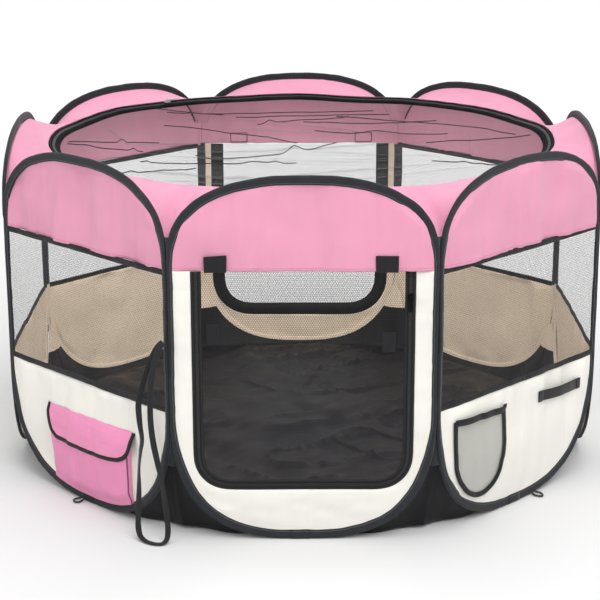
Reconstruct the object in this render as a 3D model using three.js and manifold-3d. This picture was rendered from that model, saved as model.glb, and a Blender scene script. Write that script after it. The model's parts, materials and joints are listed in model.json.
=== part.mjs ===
// Pop-up pet playpen: eight spring-wire fabric panels round an octagonal floor,
// a sloping roof skirt with a zipped net lid, two zipped net doors, a flap pocket,
// a net pocket and a hanging webbing strap.  Millimetres, +Z up, doors face -Y and +Y.
import * as THREE from 'three';
import { mergeVertices } from 'three/addons/utils/BufferGeometryUtils.js';
import Module from 'manifold-3d';

const wasm = await Module();
wasm.setup();

// ---------------------------------------------------------------- dimensions
const APOTHEM = 500;              // centre to the plane of each panel
const HEIGHT = 588;               // panel height, outside of the binding
const HALF_SEAM = APOTHEM * Math.tan(Math.PI / 8); // half distance between seams
const LOOP_HALF = 206.6;          // half width of a panel loop, outside of the binding
const LOOP_FOOT = 0.5;            // lowest point of a panel
const TOP_RISE = 130;             // height of the rounded top
const TOP_POWER = 2.4;
const FOOT_RISE = 215;            // height of the rounded foot
const FOOT_POWER = 2.65;
const BAND_WIDE = 15;             // binding width over the top and the foot
const BAND_NARROW = 8.5;          // binding width along a seam
const WIRE_RADIUS = 1.5;          // spring steel wire
const WIRE_DEPTH = 3.6;           // wire centre inside the binding
const EDGE_INSET = 6.3;           // cloth edge inside the binding
const CLOTH = 1.0;                // cloth thickness
const HEADER_Z = 440;             // bottom of the coloured upper band
const SILL_Z = 211;               // bottom of the net windows
const BEAD = 9;                   // black tape at the window edges
const GAP = 0.3;
// outer half width, outer bottom, outer corner size and tape width of each door zip
const DOORS = {
  front: { half: 171.3, foot: 84, corner: 62, tape: 16.5 },
  back: { half: 186, foot: 66, corner: 88, tape: 26 },
};
const RING_R = 447;               // outer radius of the roof zip
const RING_Z = 553;
const RING_IN = 430;              // inner radius of the roof zip
const RING_IN_Z = 545;
const LID_R = 429.5;
const LID_SAG = 20;
const FLOOR_T = 2;

// ---------------------------------------------------------------- materials
const mat = (name, color, roughness, metalness = 0) => {
  const m = new THREE.MeshStandardMaterial({ color, roughness, metalness });
  m.name = name;
  return m;
};
const PINK = mat('pink_oxford', '#f2a3be', 0.8);
const CREAM = mat('cream_oxford', '#f0efea', 0.8);
const BLACK = mat('black_oxford', '#343335', 0.7);
const BAND = mat('binding_tape', '#3a3d42', 0.75);
const NET = mat('black_net', '#2b2a2c', 0.85);
const ZIPM = mat('zip_tape', '#232325', 0.7);
const STEEL = mat('spring_steel', '#8b8d90', 0.35, 0.9);
const METAL = mat('zip_metal', '#b9bbbd', 0.3, 0.95);
const HOOK = mat('hook_tape', '#1e1e20', 0.95);

// ---------------------------------------------------------------- helpers
const root = new THREE.Group();
root.name = 'pet_playpen';

function volume(pos, idx) {
  let v = 0;
  for (let i = 0; i < idx.length; i += 3) {
    const [a, b, c] = [idx[i] * 3, idx[i + 1] * 3, idx[i + 2] * 3];
    v += pos[a] * (pos[b + 1] * pos[c + 2] - pos[b + 2] * pos[c + 1])
      + pos[a + 1] * (pos[b + 2] * pos[c] - pos[b] * pos[c + 2])
      + pos[a + 2] * (pos[b] * pos[c + 1] - pos[b + 1] * pos[c]);
  }
  return v / 6;
}

// A closed body from rings of points; the rings join end to end when loop is true,
// and otherwise the first and last ring are capped. Sides listed in turned split
// their quads along the other diagonal, which keeps both faces of a sheet parallel.
function skin(rings, loop = false, turned = []) {
  const m = rings[0].length;
  const pos = rings.flat(2);
  const idx = [];
  const n = rings.length;
  for (let i = 0; i < (loop ? n : n - 1); i += 1) {
    const a = i * m;
    const b = ((i + 1) % n) * m;
    for (let j = 0; j < m; j += 1) {
      const k = (j + 1) % m;
      if (turned.includes(j)) idx.push(a + j, a + k, b + j, a + k, b + k, b + j);
      else idx.push(a + j, a + k, b + k, a + j, b + k, b + j);
    }
  }
  if (!loop) {
    const cap = (ring, base, flip) => {
      const p = ring.map((q) => new THREE.Vector3(...q));
      const nrm = new THREE.Vector3();
      for (let i = 0; i < m; i += 1) {
        nrm.add(new THREE.Vector3().crossVectors(p[i], p[(i + 1) % m]));
      }
      nrm.normalize();
      const e = Math.abs(nrm.x) < 0.7 ? new THREE.Vector3(1, 0, 0) : new THREE.Vector3(0, 1, 0);
      const ux = new THREE.Vector3().crossVectors(nrm, e).normalize();
      const uy = new THREE.Vector3().crossVectors(nrm, ux).normalize();
      const flat = p.map((q) => new THREE.Vector2(q.dot(ux), q.dot(uy)));
      const ccw = !THREE.ShapeUtils.isClockWise(flat);
      const order = ccw ? flat : flat.slice().reverse();
      const tris = THREE.ShapeUtils.triangulateShape(order, []);
      for (const t of tris) {
        const r = t.map((q) => base + (ccw ? q : m - 1 - q));
        const same = ccw !== flip;
        if (same) idx.push(r[0], r[1], r[2]);
        else idx.push(r[0], r[2], r[1]);
      }
    };
    cap(rings[0], 0, false);
    cap(rings[n - 1], (n - 1) * m, true);
    // the caps must agree with the walls: test both senses and keep the closed one
    const edges = (list) => {
      const seen = new Map();
      for (let i = 0; i < list.length; i += 3) {
        for (const [a, b] of [[0, 1], [1, 2], [2, 0]]) {
          const key = `${list[i + a]}_${list[i + b]}`;
          seen.set(key, (seen.get(key) || 0) + 1);
        }
      }
      let bad = 0;
      for (const [key, c] of seen) {
        const [a, b] = key.split('_');
        if (c > 1 || !seen.has(`${b}_${a}`)) bad += 1;
      }
      return bad;
    };
    if (edges(idx) > 0) {
      const walls = (n - 1) * m * 6;
      const capSize = (idx.length - walls) / 2;
      const turn = (from, to) => {
        for (let i = from; i < to; i += 3) [idx[i + 1], idx[i + 2]] = [idx[i + 2], idx[i + 1]];
      };
      turn(walls, walls + capSize);
      if (edges(idx) > 0) {
        turn(walls + capSize, idx.length);
        if (edges(idx) > 0) turn(walls, walls + capSize);
      }
    }
  }
  if (volume(pos, idx) < 0) {
    for (let i = 0; i < idx.length; i += 3) [idx[i + 1], idx[i + 2]] = [idx[i + 2], idx[i + 1]];
  }
  const g = new THREE.BufferGeometry();
  g.setAttribute('position', new THREE.Float32BufferAttribute(pos, 3));
  g.setIndex(idx);
  return g;
}

function bare(geometry) {
  let g = geometry.clone();
  for (const key of Object.keys(g.attributes)) if (key !== 'position') g.deleteAttribute(key);
  g = mergeVertices(g, 1e-3);
  return g;
}

function toSolid(geometry) {
  const g = bare(geometry);
  return new wasm.Manifold(new wasm.Mesh({
    numProp: 3,
    vertProperties: new Float32Array(g.attributes.position.array),
    triVerts: new Uint32Array(g.index.array),
  }));
}

function fromSolid(solid) {
  const mesh = solid.getMesh();
  const g = new THREE.BufferGeometry();
  g.setAttribute('position', new THREE.Float32BufferAttribute(Array.from(mesh.vertProperties), 3));
  g.setIndex(Array.from(mesh.triVerts));
  return g;
}

const box = (x0, x1, y0, y1, z0, z1) => {
  const g = new THREE.BoxGeometry(x1 - x0, y1 - y0, z1 - z0);
  g.translate((x0 + x1) / 2, (y0 + y1) / 2, (z0 + z1) / 2);
  return g;
};

const join = (...list) => fromSolid(list.map(toSolid).reduce((a, b) => a.add(b)));
const cut = (a, ...list) => fromSolid(list.map(toSolid).reduce((s, b) => s.subtract(b), toSolid(a)));

function add(group, name, geometry, material) {
  const g = geometry.clone();
  g.computeVertexNormals();
  const mesh = new THREE.Mesh(g, material);
  mesh.name = name;
  group.add(mesh);
  return mesh;
}

// plate in the panel plane: outline points [u, z], thickness t centred on n
function plate(points, t, n = 0, holes = []) {
  const shape = new THREE.Shape(points.map((p) => new THREE.Vector2(...p)));
  for (const h of holes) shape.holes.push(new THREE.Path(h.map((p) => new THREE.Vector2(...p))));
  const g = new THREE.ExtrudeGeometry(shape, { depth: t, bevelEnabled: false, curveSegments: 1 });
  g.translate(0, 0, n - t / 2);
  return g;
}

// ---------------------------------------------------------------- panel outline
const topZ = (u) => HEIGHT - TOP_RISE
  + TOP_RISE * Math.pow(Math.max(0, 1 - Math.pow(Math.abs(u) / LOOP_HALF, TOP_POWER)), 1 / TOP_POWER);
const footZ = (u) => LOOP_FOOT + FOOT_RISE
  - FOOT_RISE * Math.pow(Math.max(0, 1 - Math.pow(Math.abs(u) / LOOP_HALF, FOOT_POWER)), 1 / FOOT_POWER);

// stations round the loop, anticlockwise seen from outside, starting at the right seam
const STATIONS = [];
{
  const half = [0.93, 0.72, 0.5, 0.27, 0];    // share of a right angle
  const topArc = [];
  const footArc = [];
  for (const s of [1, ...half]) {
    const phi = (1 - s) * Math.PI / 2;
    topArc.push([LOOP_HALF * Math.pow(Math.cos(phi), 2 / TOP_POWER),
      HEIGHT - TOP_RISE + TOP_RISE * Math.pow(Math.sin(phi), 2 / TOP_POWER)]);
    footArc.push([LOOP_HALF * Math.pow(Math.cos(phi), 2 / FOOT_POWER),
      LOOP_FOOT + FOOT_RISE - FOOT_RISE * Math.pow(Math.sin(phi), 2 / FOOT_POWER)]);
  }
  topArc[topArc.length - 1][0] = 0;
  footArc[footArc.length - 1][0] = 0;
  for (const p of topArc) STATIONS.push(p);
  for (const p of topArc.slice(0, -1).reverse()) STATIONS.push([-p[0], p[1]]);
  STATIONS.push([-LOOP_HALF, 337]);
  for (const p of footArc) STATIONS.push([-p[0], p[1]]);
  for (const p of footArc.slice(0, -1).reverse()) STATIONS.push(p);
  STATIONS.push([LOOP_HALF, 337]);
}
const N = STATIONS.length;
const INWARD = STATIONS.map((p, i) => {
  const a = STATIONS[(i + N - 1) % N];
  const b = STATIONS[(i + 1) % N];
  const d1 = [p[0] - a[0], p[1] - a[1]];
  const d2 = [b[0] - p[0], b[1] - p[1]];
  const l1 = Math.hypot(...d1);
  const l2 = Math.hypot(...d2);
  const n1 = [-d1[1] / l1, d1[0] / l1];
  const n2 = [-d2[1] / l2, d2[0] / l2];
  const s = [n1[0] + n2[0], n1[1] + n2[1]];
  const c = (s[0] * n1[0] + s[1] * n1[1]);
  return [s[0] / c, s[1] / c];
});
const inset = (i, p) => [STATIONS[i][0] + INWARD[i][0] * p, STATIONS[i][1] + INWARD[i][1] * p];
const smooth = (a, b, x) => {
  const t = Math.min(1, Math.max(0, (x - a) / (b - a)));
  return t * t * (3 - 2 * t);
};
const bandWidth = (z) => BAND_NARROW
  + (BAND_WIDE - BAND_NARROW) * Math.max(smooth(445, 520, z), 1 - smooth(95, 205, z));

function loopBody(section) {
  return skin(STATIONS.map((p, i) => section(p[1]).map(([q, n]) => [...inset(i, q), n])), true);
}
const bindingSection = (z) => {
  const w = bandWidth(z);
  return [[0, 0], [0.8, 2.5], [4.5, 3.0], [w, 1.7], [w, 0.85], [5.7, 0.85], [3.2, 2.0], [1.1, 0],
    [3.2, -2.0], [5.7, -0.85], [w, -0.85], [w, -1.7], [4.5, -3.0], [0.8, -2.5]];
};
const wireSection = () => {
  const out = [];
  for (let k = 0; k < 6; k += 1) {
    const a = k * Math.PI / 3;
    out.push([WIRE_DEPTH + WIRE_RADIUS * Math.cos(a), WIRE_RADIUS * Math.sin(a)]);
  }
  return out;
};

// cloth outlines that follow the loop between two heights
function clothOutline(zLow, zHigh) {
  const raw = STATIONS.map((_, i) => inset(i, EDGE_INSET));
  const out = [];
  for (let i = 0; i < N; i += 1) {
    const a = raw[i];
    const b = raw[(i + 1) % N];
    const inside = (p) => p[1] > zLow && p[1] < zHigh;
    if (inside(a)) out.push(a);
    for (const z of (a[1] < b[1] ? [zLow, zHigh] : [zHigh, zLow])) {
      if ((a[1] - z) * (b[1] - z) < 0) {
        const t = (z - a[1]) / (b[1] - a[1]);
        out.push([a[0] + t * (b[0] - a[0]), z]);
      }
    }
  }
  return out;
}

// U outlines of the door: half width h, bottom z, corner c, open at the header
function uPath(h, foot, c, steps = 6) {
  const pts = [[h, HEADER_Z - 0.5]];
  for (let k = 0; k <= steps; k += 1) {
    const phi = (k / steps) * Math.PI / 2;
    pts.push([h - c + c * Math.pow(Math.cos(phi), 2 / 2.3), foot + c - c * Math.pow(Math.sin(phi), 2 / 2.3)]);
  }
  const left = pts.slice().reverse().map(([u, z]) => [-u, z]);
  return pts.concat(left);
}

// ---------------------------------------------------------------- panels
const PANELS = [
  ['front', -90], ['front_right', -45], ['right', 0], ['back_right', 45],
  ['back', 90], ['back_left', 135], ['left', 180], ['front_left', -135],
];
const panelGroup = {};
for (const [name, deg] of PANELS) {
  const a = deg * Math.PI / 180;
  const n = new THREE.Vector3(Math.cos(a), Math.sin(a), 0);
  const t = new THREE.Vector3(-Math.sin(a), Math.cos(a), 0);
  const g = new THREE.Group();
  const basis = new THREE.Matrix4().makeBasis(t, new THREE.Vector3(0, 0, 1), n);
  g.quaternion.setFromRotationMatrix(basis);
  g.position.copy(n.multiplyScalar(APOTHEM));
  root.add(g);
  panelGroup[name] = g;

  add(g, `${name}_spring_hoop`, loopBody(wireSection), STEEL);
  add(g, `${name}_binding`, loopBody(bindingSection), BAND);
  const door = name === 'front' || name === 'back';
  add(g, door ? `${name}_header_fabric` : `${name}_upper_fabric`,
    plate(clothOutline(HEADER_Z + GAP, 1e4), CLOTH), PINK);
  const edge = LOOP_HALF - EDGE_INSET;
  if (!door) {
    const sheet = box(-edge, edge, SILL_Z, HEADER_Z - GAP, -0.4, 0.4);
    const reach = LOOP_HALF - BAND_NARROW - 0.6;
    const upper = box(-reach, reach, HEADER_Z - GAP - BEAD, HEADER_Z - GAP, -1.4, 1.4);
    const lower = box(-reach, reach, SILL_Z, SILL_Z + BEAD, -1.4, 1.4);
    add(g, `${name}_window_net`, join(sheet, upper, lower), NET);
    add(g, `${name}_lower_fabric`, plate(clothOutline(-1e4, SILL_Z - GAP), CLOTH), CREAM);
  } else {
    const outer = clothOutline(-1e4, HEADER_Z - GAP);
    // outline runs from the upper left corner down, round the foot and up to the right
    const start = outer.findIndex((p) => p[0] < 0 && p[1] > HEADER_Z - 1);
    const run = outer.slice(start).concat(outer.slice(0, start));
    const { half: doorHalf, foot: doorFoot, corner: doorCorner, tape } = DOORS[name];
    const inner = uPath(doorHalf + GAP, doorFoot - GAP, doorCorner + GAP).slice(1, -1);
    const u0 = doorHalf + GAP;
    const shape = run.concat([[u0, HEADER_Z - GAP]], inner, [[-u0, HEADER_Z - GAP]]);
    add(g, `${name}_surround_fabric`, plate(shape, CLOTH), CREAM);

    // zip: flat tape with a raised chain, swept along the U
    const mid = uPath(doorHalf - tape / 2, doorFoot + tape / 2, doorCorner - tape / 2);
    const half = tape / 2;
    const section = [[-half, -0.6], [half, -0.6], [half, 0.6], [2.6, 0.7], [2.1, 2.3], [-2.1, 2.3],
      [-2.6, 0.7], [-half, 0.6]];
    const rings = mid.map((p, i) => {
      const a0 = mid[Math.max(0, i - 1)];
      const b0 = mid[Math.min(mid.length - 1, i + 1)];
      const l1 = Math.hypot(p[0] - a0[0], p[1] - a0[1]) || 1;
      const l2 = Math.hypot(b0[0] - p[0], b0[1] - p[1]) || 1;
      let nx = (i > 0 ? -(p[1] - a0[1]) / l1 : 0) + (i < mid.length - 1 ? -(b0[1] - p[1]) / l2 : 0);
      let nz = (i > 0 ? (p[0] - a0[0]) / l1 : 0) + (i < mid.length - 1 ? (b0[0] - p[0]) / l2 : 0);
      const l = Math.hypot(nx, nz);
      nx /= l;
      nz /= l;
      return section.map(([q, h]) => [p[0] + nx * q, p[1] + nz * q, h]);
    });
    add(g, `${name}_door_zip`, skin(rings), ZIPM);

    // the net door itself, hinged at the header
    const ih = doorHalf - tape - 0.6;
    const doorShape = uPath(ih, doorFoot + tape + 0.6, doorCorner - tape, 6);
    add(g, `${name}_door_net`, plate(doorShape, 0.9), NET);

    // slider with its pull tab, near the top of the right-hand run
    const su = doorHalf - half;
    const sz = 398;
    const body = box(su - 5, su + 5, sz - 7, sz + 7, 2.6, 6.4);
    const bridge = box(su - 1.5, su + 1.5, sz - 8, sz + 5, 6.2, 8.6);
    const tab = box(su - 3.2, su + 3.2, sz - 34, sz - 6, 7.0, 8.4);
    add(g, `${name}_zip_slider`, join(body, bridge, tab), METAL);
  }
}

// door tie tabs on the front header
for (const [side, u0, u1] of [['left', -150, -116], ['right', 110, 144]]) {
  add(panelGroup.front, `front_tie_tab_${side}`,
    box(u0, u1, HEADER_Z + 0.5, HEADER_Z + 25, 0.8, 2.4), HOOK);
}

// ---------------------------------------------------------------- stations round the pen
// each station: angle, outer edge of roof and floor on its panel
const SPOTS = [];
{
  const us = [-180, -130, -65, 0, 65, 130, 180];
  for (const [, deg] of PANELS) {
    const a = deg * Math.PI / 180;
    const place = (u, n) => {
      const r = APOTHEM + n;
      return [r * Math.cos(a) - u * Math.sin(a), r * Math.sin(a) + u * Math.cos(a)];
    };
    const seam = HALF_SEAM - 5 * Math.tan(Math.PI / 8);
    SPOTS.push({ xy: place(-seam, -5), toe: place(-HALF_SEAM + 28, -22), top: 486, foot: 140, seam: true });
    for (const u of us) {
      const wide = Math.abs(u) > 150;
      SPOTS.push({
        xy: place(u, -5),
        toe: place(u * (wide ? 0.93 : 1), wide ? -16 : -13),
        top: topZ(u) - 8,
        foot: Math.max(footZ(u) + 9, 6),
      });
    }
  }
  for (const s of SPOTS) {
    if (s.seam) {
      // the floor runs straight across the corner on the ground
      const r = Math.hypot(...s.xy);
      s.toe = [s.xy[0] / r * 497, s.xy[1] / r * 497];
    }
    s.angle = Math.atan2(s.xy[1], s.xy[0]);
  }
}
const polar = (a, r, z) => [r * Math.cos(a), r * Math.sin(a), z];

// roof skirt from the panel tops to the zip
add(root, 'roof_skirt', skin(SPOTS.map((s) => {
  const ro = Math.hypot(...s.xy);
  const ri = RING_R + GAP + 0.2;
  const zi = RING_Z - 1;
  const rm = (ro + ri) / 2;
  const zm = (s.top + zi) / 2 + (s.seam ? 2 : -2);
  const t = 1.3;
  return [polar(s.angle, ro, s.top + t), polar(s.angle, rm, zm + t), polar(s.angle, ri, zi + t),
    polar(s.angle, ri, zi - t), polar(s.angle, rm, zm - t), polar(s.angle, ro, s.top - t)];
}), true, [3, 4]), PINK);

// roof zip: a tape ring that dips inwards
add(root, 'roof_zip_ring', skin(SPOTS.map((s) => [
  polar(s.angle, RING_R, RING_Z), polar(s.angle, RING_IN, RING_IN_Z),
  polar(s.angle, RING_IN, RING_IN_Z - 2), polar(s.angle, RING_R, RING_Z - 2)]), true), ZIPM);

// a dished disc: rings from the rim to the centre, top and underside
function disc(rimAt, levels, thickness) {
  const count = SPOTS.length;
  const pos = [];
  const idx = [];
  for (const side of [0, 1]) {
    for (const level of levels) {
      for (const s of SPOTS) {
        const [x, y, z] = rimAt(s, level);
        pos.push(x, y, z - side * thickness);
      }
    }
    const [x, y, z] = rimAt(SPOTS[0], 'centre');
    pos.push(x, y, z - side * thickness);
  }
  const layer = count * levels.length + 1;
  const at = (side, level, k) => side * layer + level * count + (k % count);
  for (let k = 0; k < count; k += 1) {
    for (let l = 0; l + 1 < levels.length; l += 1) {
      idx.push(at(0, l, k), at(0, l, k + 1), at(0, l + 1, k + 1), at(0, l, k), at(0, l + 1, k + 1), at(0, l + 1, k));
      idx.push(at(1, l, k), at(1, l + 1, k + 1), at(1, l, k + 1), at(1, l, k), at(1, l + 1, k), at(1, l + 1, k + 1));
    }
    const last = levels.length - 1;
    idx.push(at(0, last, k), at(0, last, k + 1), layer - 1);
    idx.push(at(1, last, k + 1), at(1, last, k), 2 * layer - 1);
    idx.push(at(1, 0, k), at(1, 0, k + 1), at(0, 0, k + 1), at(1, 0, k), at(0, 0, k + 1), at(0, 0, k));
  }
  if (volume(pos, idx) < 0) {
    for (let i = 0; i < idx.length; i += 3) [idx[i + 1], idx[i + 2]] = [idx[i + 2], idx[i + 1]];
  }
  const g = new THREE.BufferGeometry();
  g.setAttribute('position', new THREE.Float32BufferAttribute(pos, 3));
  g.setIndex(idx);
  return g;
}

add(root, 'roof_net', disc((s, level) => {
  if (level === 'centre') return [0, 0, RING_IN_Z - LID_SAG];
  const share = level / LID_R;
  return polar(s.angle, level, RING_IN_Z - LID_SAG * (1 - share * share));
}, [LID_R, 290], 1), NET);

// floor: flat on the ground, its edge rising inside the rounded feet of the panels
add(root, 'floor_sheet', disc((s, level) => {
  if (level === 'centre') return [0, 0, FLOOR_T];
  if (level === 'edge') return [s.xy[0], s.xy[1], s.foot + FLOOR_T];
  if (level === 'toe') return [s.toe[0], s.toe[1], FLOOR_T];
  return [s.toe[0] * 0.55, s.toe[1] * 0.55, FLOOR_T];
}, ['edge', 'toe', 'field'], FLOOR_T), BLACK);

// roof zip slider on the ring
{
  const a = 127 * Math.PI / 180;
  const r = (RING_R + RING_IN) / 2;
  const g = new THREE.Group();
  g.position.set(r * Math.cos(a), r * Math.sin(a), (RING_Z + RING_IN_Z) / 2 + 1.2);
  g.rotation.z = a;
  root.add(g);
  const body = box(-5.4, 5.4, -7, 7, 3.0, 6.6);
  const tab = box(-3, 3, -30, 4, 6.4, 8.2);
  add(g, 'roof_zip_slider', join(body, tab), METAL);
}

// ---------------------------------------------------------------- front-left: flap pocket
{
  const g = panelGroup.front_left;
  const hem = [-96, -66, -32, 4, 40, 76, 112].map((u) => [u, footZ(u) + BAND_WIDE + 7]);
  const bagOut = plate(hem.concat([[112, 130], [-96, 130]]), 11.1, 0.9 + 11.1 / 2);
  const bagIn = plate(hem.map(([u, z]) => [u > 0 ? Math.min(u, 110.6) : Math.max(u, -94.6), z + 1.5])
    .concat([[110.6, 142], [-94.6, 142]]), 8.5, 2.2 + 8.5 / 2);
  add(g, 'pocket_bag', cut(bagOut, bagIn), PINK);
  const rings = [];
  const us = [-98, -94, -87, -71, 19, 70, 94, 110, 119, 124];
  const low = [126, 114, 105, 97.7, 97.5, 101, 105, 113, 122, 130];
  us.forEach((u, i) => {
    rings.push([[u, 154, 1.6], [u, 138, 14.8], [u, low[i], 15.0], [u, low[i], 13.6], [u, 137, 13.2], [u, 152, 0.9]]);
  });
  add(g, 'pocket_flap', skin(rings), PINK);
}

// ---------------------------------------------------------------- front-right: net pocket and webbing loop
{
  const g = panelGroup.front_right;
  const d = [[-174, 185], [-173, 150], [-168.5, 114], [-156, 80], [-134, 54], [-109, 40.5], [-85, 39], [-62, 49], [-46, 70],
    [-39.5, 98], [-39.5, 134], [-42, 178]];
  const inner = [[-172.4, 200], [-171.4, 150], [-167, 114.4], [-154.7, 81], [-133, 55.3], [-108.6, 42.1], [-85.5, 40.6],
    [-63, 50.4], [-47.5, 70.8], [-41.1, 98.3], [-41.1, 134], [-43.7, 200]];
  const bag = cut(plate(d, 11.1, 0.9 + 5.55), plate(inner, 8.5, 2.2 + 4.25));
  add(g, 'net_pocket', bag, NET);
  // bowed webbing, stitched down at both ends
  const rings = [];
  for (const [u, n] of [[46, 0.9], [54, 0.9], [68, 5.4], [84, 7.6], [102, 8.2], [120, 7.6], [136, 5.4], [150, 0.9], [158, 0.9]]) {
    rings.push([[u, 181, n], [u, 163, n], [u, 163, n + 1.6], [u, 181, n + 1.6]]);
  }
  add(g, 'webbing_loop', skin(rings), BAND);
}

// ---------------------------------------------------------------- stake loops at the panel feet
for (const [name, u] of [['front_left', -16], ['front_right', 46], ['back_right', 0], ['back_left', 0]]) {
  const ring = new THREE.TorusGeometry(9, 1.6, 6, 12);
  ring.scale(0.8, 1, 1);
  ring.rotateX(Math.PI / 2);
  ring.translate(u, 3.0, 14.4);
  add(panelGroup[name], `${name}_stake_loop`, ring, BAND);
}

// ---------------------------------------------------------------- webbing strap at the front-left seam
{
  // loop of flat webbing: down one strand, round on the ground and up the other
  const path = [
    [-214, -511, 331], [-223, -513, 322], [-234, -511, 301], [-243, -507, 275], [-250, -504, 250],
    [-255, -501, 226], [-254, -501, 196], [-251, -502, 169], [-254, -501, 148], [-257, -500, 122],
    [-258, -500, 86], [-260, -500, 50], [-261, -501, 24], [-258, -506, 9], [-250, -514, 3.4],
    [-240, -521, 2.4], [-230, -525, 2.4], [-221, -524, 2.8], [-215, -518, 7], [-213, -514, 20],
    [-214, -514, 42], [-217, -515, 71], [-221, -515, 104], [-227, -514, 136], [-233, -512, 169],
    [-236, -511, 200], [-236, -512, 228], [-234, -514, 262], [-228, -518, 296], [-221, -520, 319],
    [-214, -519, 333],
  ];
  const curve = new THREE.CatmullRomCurve3(path.map((p) => new THREE.Vector3(...p)));
  const steps = 40;
  const rings = [];
  const out = new THREE.Vector3(-Math.sin(Math.PI / 8), -Math.cos(Math.PI / 8), 0);
  let last = null;
  for (let i = 0; i <= steps; i += 1) {
    const p = curve.getPointAt(i / steps);
    const t = curve.getTangentAt(i / steps);
    // the flat face looks outwards on the hanging strands and up on the ground
    const face = new THREE.Vector3();
    const lie = 1 - smooth(6, 60, p.z);
    face.copy(out).multiplyScalar(1 - lie).add(new THREE.Vector3(0, 0, lie));
    let side = new THREE.Vector3().crossVectors(t, face).normalize();
    if (last && side.dot(last) < 0) side.negate();
    last = side.clone();
    const up = new THREE.Vector3().crossVectors(side, t).normalize();
    const w = 4.8;
    const h = 0.8;
    rings.push([[w, h], [-w, h], [-w, -h], [w, -h]].map(([a, b]) => {
      const q = p.clone().addScaledVector(side, a).addScaledVector(up, b);
      return [q.x, q.y, Math.max(q.z, 0.8)];
    }));
  }
  add(root, 'strap', skin(rings), BAND);
}

root.updateMatrixWorld(true);
export default root;
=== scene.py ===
import json
import math

import bmesh
import bpy
import numpy as np
from mathutils import Matrix, Vector

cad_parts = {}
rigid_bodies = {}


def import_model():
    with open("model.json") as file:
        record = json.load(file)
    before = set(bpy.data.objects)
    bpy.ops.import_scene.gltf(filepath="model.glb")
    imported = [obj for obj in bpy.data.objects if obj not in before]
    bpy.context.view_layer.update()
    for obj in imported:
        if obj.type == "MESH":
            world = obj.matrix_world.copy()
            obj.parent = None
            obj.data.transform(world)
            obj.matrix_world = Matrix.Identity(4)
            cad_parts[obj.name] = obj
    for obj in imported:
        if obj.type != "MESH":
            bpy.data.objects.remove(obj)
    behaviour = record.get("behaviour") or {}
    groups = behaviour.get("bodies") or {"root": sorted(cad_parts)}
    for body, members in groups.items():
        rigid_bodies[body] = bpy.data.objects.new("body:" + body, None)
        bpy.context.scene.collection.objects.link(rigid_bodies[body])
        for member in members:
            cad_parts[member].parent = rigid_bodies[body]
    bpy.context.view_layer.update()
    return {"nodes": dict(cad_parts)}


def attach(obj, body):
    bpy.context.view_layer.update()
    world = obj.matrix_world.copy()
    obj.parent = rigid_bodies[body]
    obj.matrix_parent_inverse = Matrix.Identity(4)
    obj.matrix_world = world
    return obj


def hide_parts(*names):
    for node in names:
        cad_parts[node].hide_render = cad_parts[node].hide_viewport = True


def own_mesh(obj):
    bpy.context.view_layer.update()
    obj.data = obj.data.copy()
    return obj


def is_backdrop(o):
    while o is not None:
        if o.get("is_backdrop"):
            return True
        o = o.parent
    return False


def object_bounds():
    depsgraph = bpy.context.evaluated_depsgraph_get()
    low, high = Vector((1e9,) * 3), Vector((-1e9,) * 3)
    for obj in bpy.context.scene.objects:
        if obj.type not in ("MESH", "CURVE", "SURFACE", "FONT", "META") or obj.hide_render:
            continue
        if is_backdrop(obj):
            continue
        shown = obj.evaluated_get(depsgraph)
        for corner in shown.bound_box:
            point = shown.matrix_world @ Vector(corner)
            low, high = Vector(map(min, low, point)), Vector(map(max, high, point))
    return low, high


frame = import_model()
scene = bpy.context.scene

# ------------------------------------------------------------------ sizes, metres
A = 0.500                       # centre to each panel's plane
SEAM = A * math.tan(math.pi / 8)
H = 0.588
HALF = 0.2066
FOOT = 0.0005
TOP_RISE, TOP_POWER = 0.130, 2.4
FOOT_RISE, FOOT_POWER = 0.215, 2.65
HEADER, SILL = 0.440, 0.211
WIDE, NARROW = 0.0150, 0.0085
INSET = 0.0063
# outer half width, outer bottom, outer corner size and tape width of each door zip
DOORS = {"front": (0.1713, 0.084, 0.062, 0.0165), "back": (0.186, 0.066, 0.088, 0.026)}
RING_R, RING_Z, RING_IN, RING_IN_Z = 0.447, 0.553, 0.430, 0.545
PANELS = {"front": -90, "front_right": -45, "right": 0, "back_right": 45,
          "back": 90, "back_left": 135, "left": 180, "front_left": -135}


def axes_of(p):
    a = math.radians(PANELS[p])
    return np.array([-math.sin(a), math.cos(a), 0.0]), np.array([math.cos(a), math.sin(a), 0.0])


def local(p, u, z, n):
    """Points of a panel: u to the right seen from outside, z up, n outwards."""
    t, o = axes_of(p)
    u, z, n = np.broadcast_arrays(np.asarray(u, float), np.asarray(z, float), np.asarray(n, float))
    return (A + n)[..., None] * o + u[..., None] * t + z[..., None] * np.array([0, 0, 1.0])


# ------------------------------------------------------------------ noise
def _hash(ix, iy, seed):
    h = (ix.astype(np.int64) * 374761393 + iy.astype(np.int64) * 668265263 + seed * 974634777) & 0x7FFFFFFF
    h = ((h ^ (h >> 13)) * 1274126177) & 0x7FFFFFFF
    return ((h ^ (h >> 16)) & 0xFFFF) / 32767.5 - 1.0


def vn(x, y, seed=0):
    """Smooth value noise, -1 to 1."""
    x, y = np.broadcast_arrays(np.asarray(x, float), np.asarray(y, float))
    ix, iy = np.floor(x), np.floor(y)
    fx, fy = x - ix, y - iy
    fx, fy = fx ** 3 * (fx * (fx * 6 - 15) + 10), fy ** 3 * (fy * (fy * 6 - 15) + 10)
    a, b = _hash(ix, iy, seed), _hash(ix + 1, iy, seed)
    c, d = _hash(ix, iy + 1, seed), _hash(ix + 1, iy + 1, seed)
    return (a * (1 - fx) + b * fx) * (1 - fy) + (c * (1 - fx) + d * fx) * fy


def fbm(x, y, seed=0, octaves=3):
    s, w = 0, 1.0
    for k in range(octaves):
        s = s + w * vn(x * 2 ** k, y * 2 ** k, seed + 17 * k)
        w *= 0.5
    return s / 1.75


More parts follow.
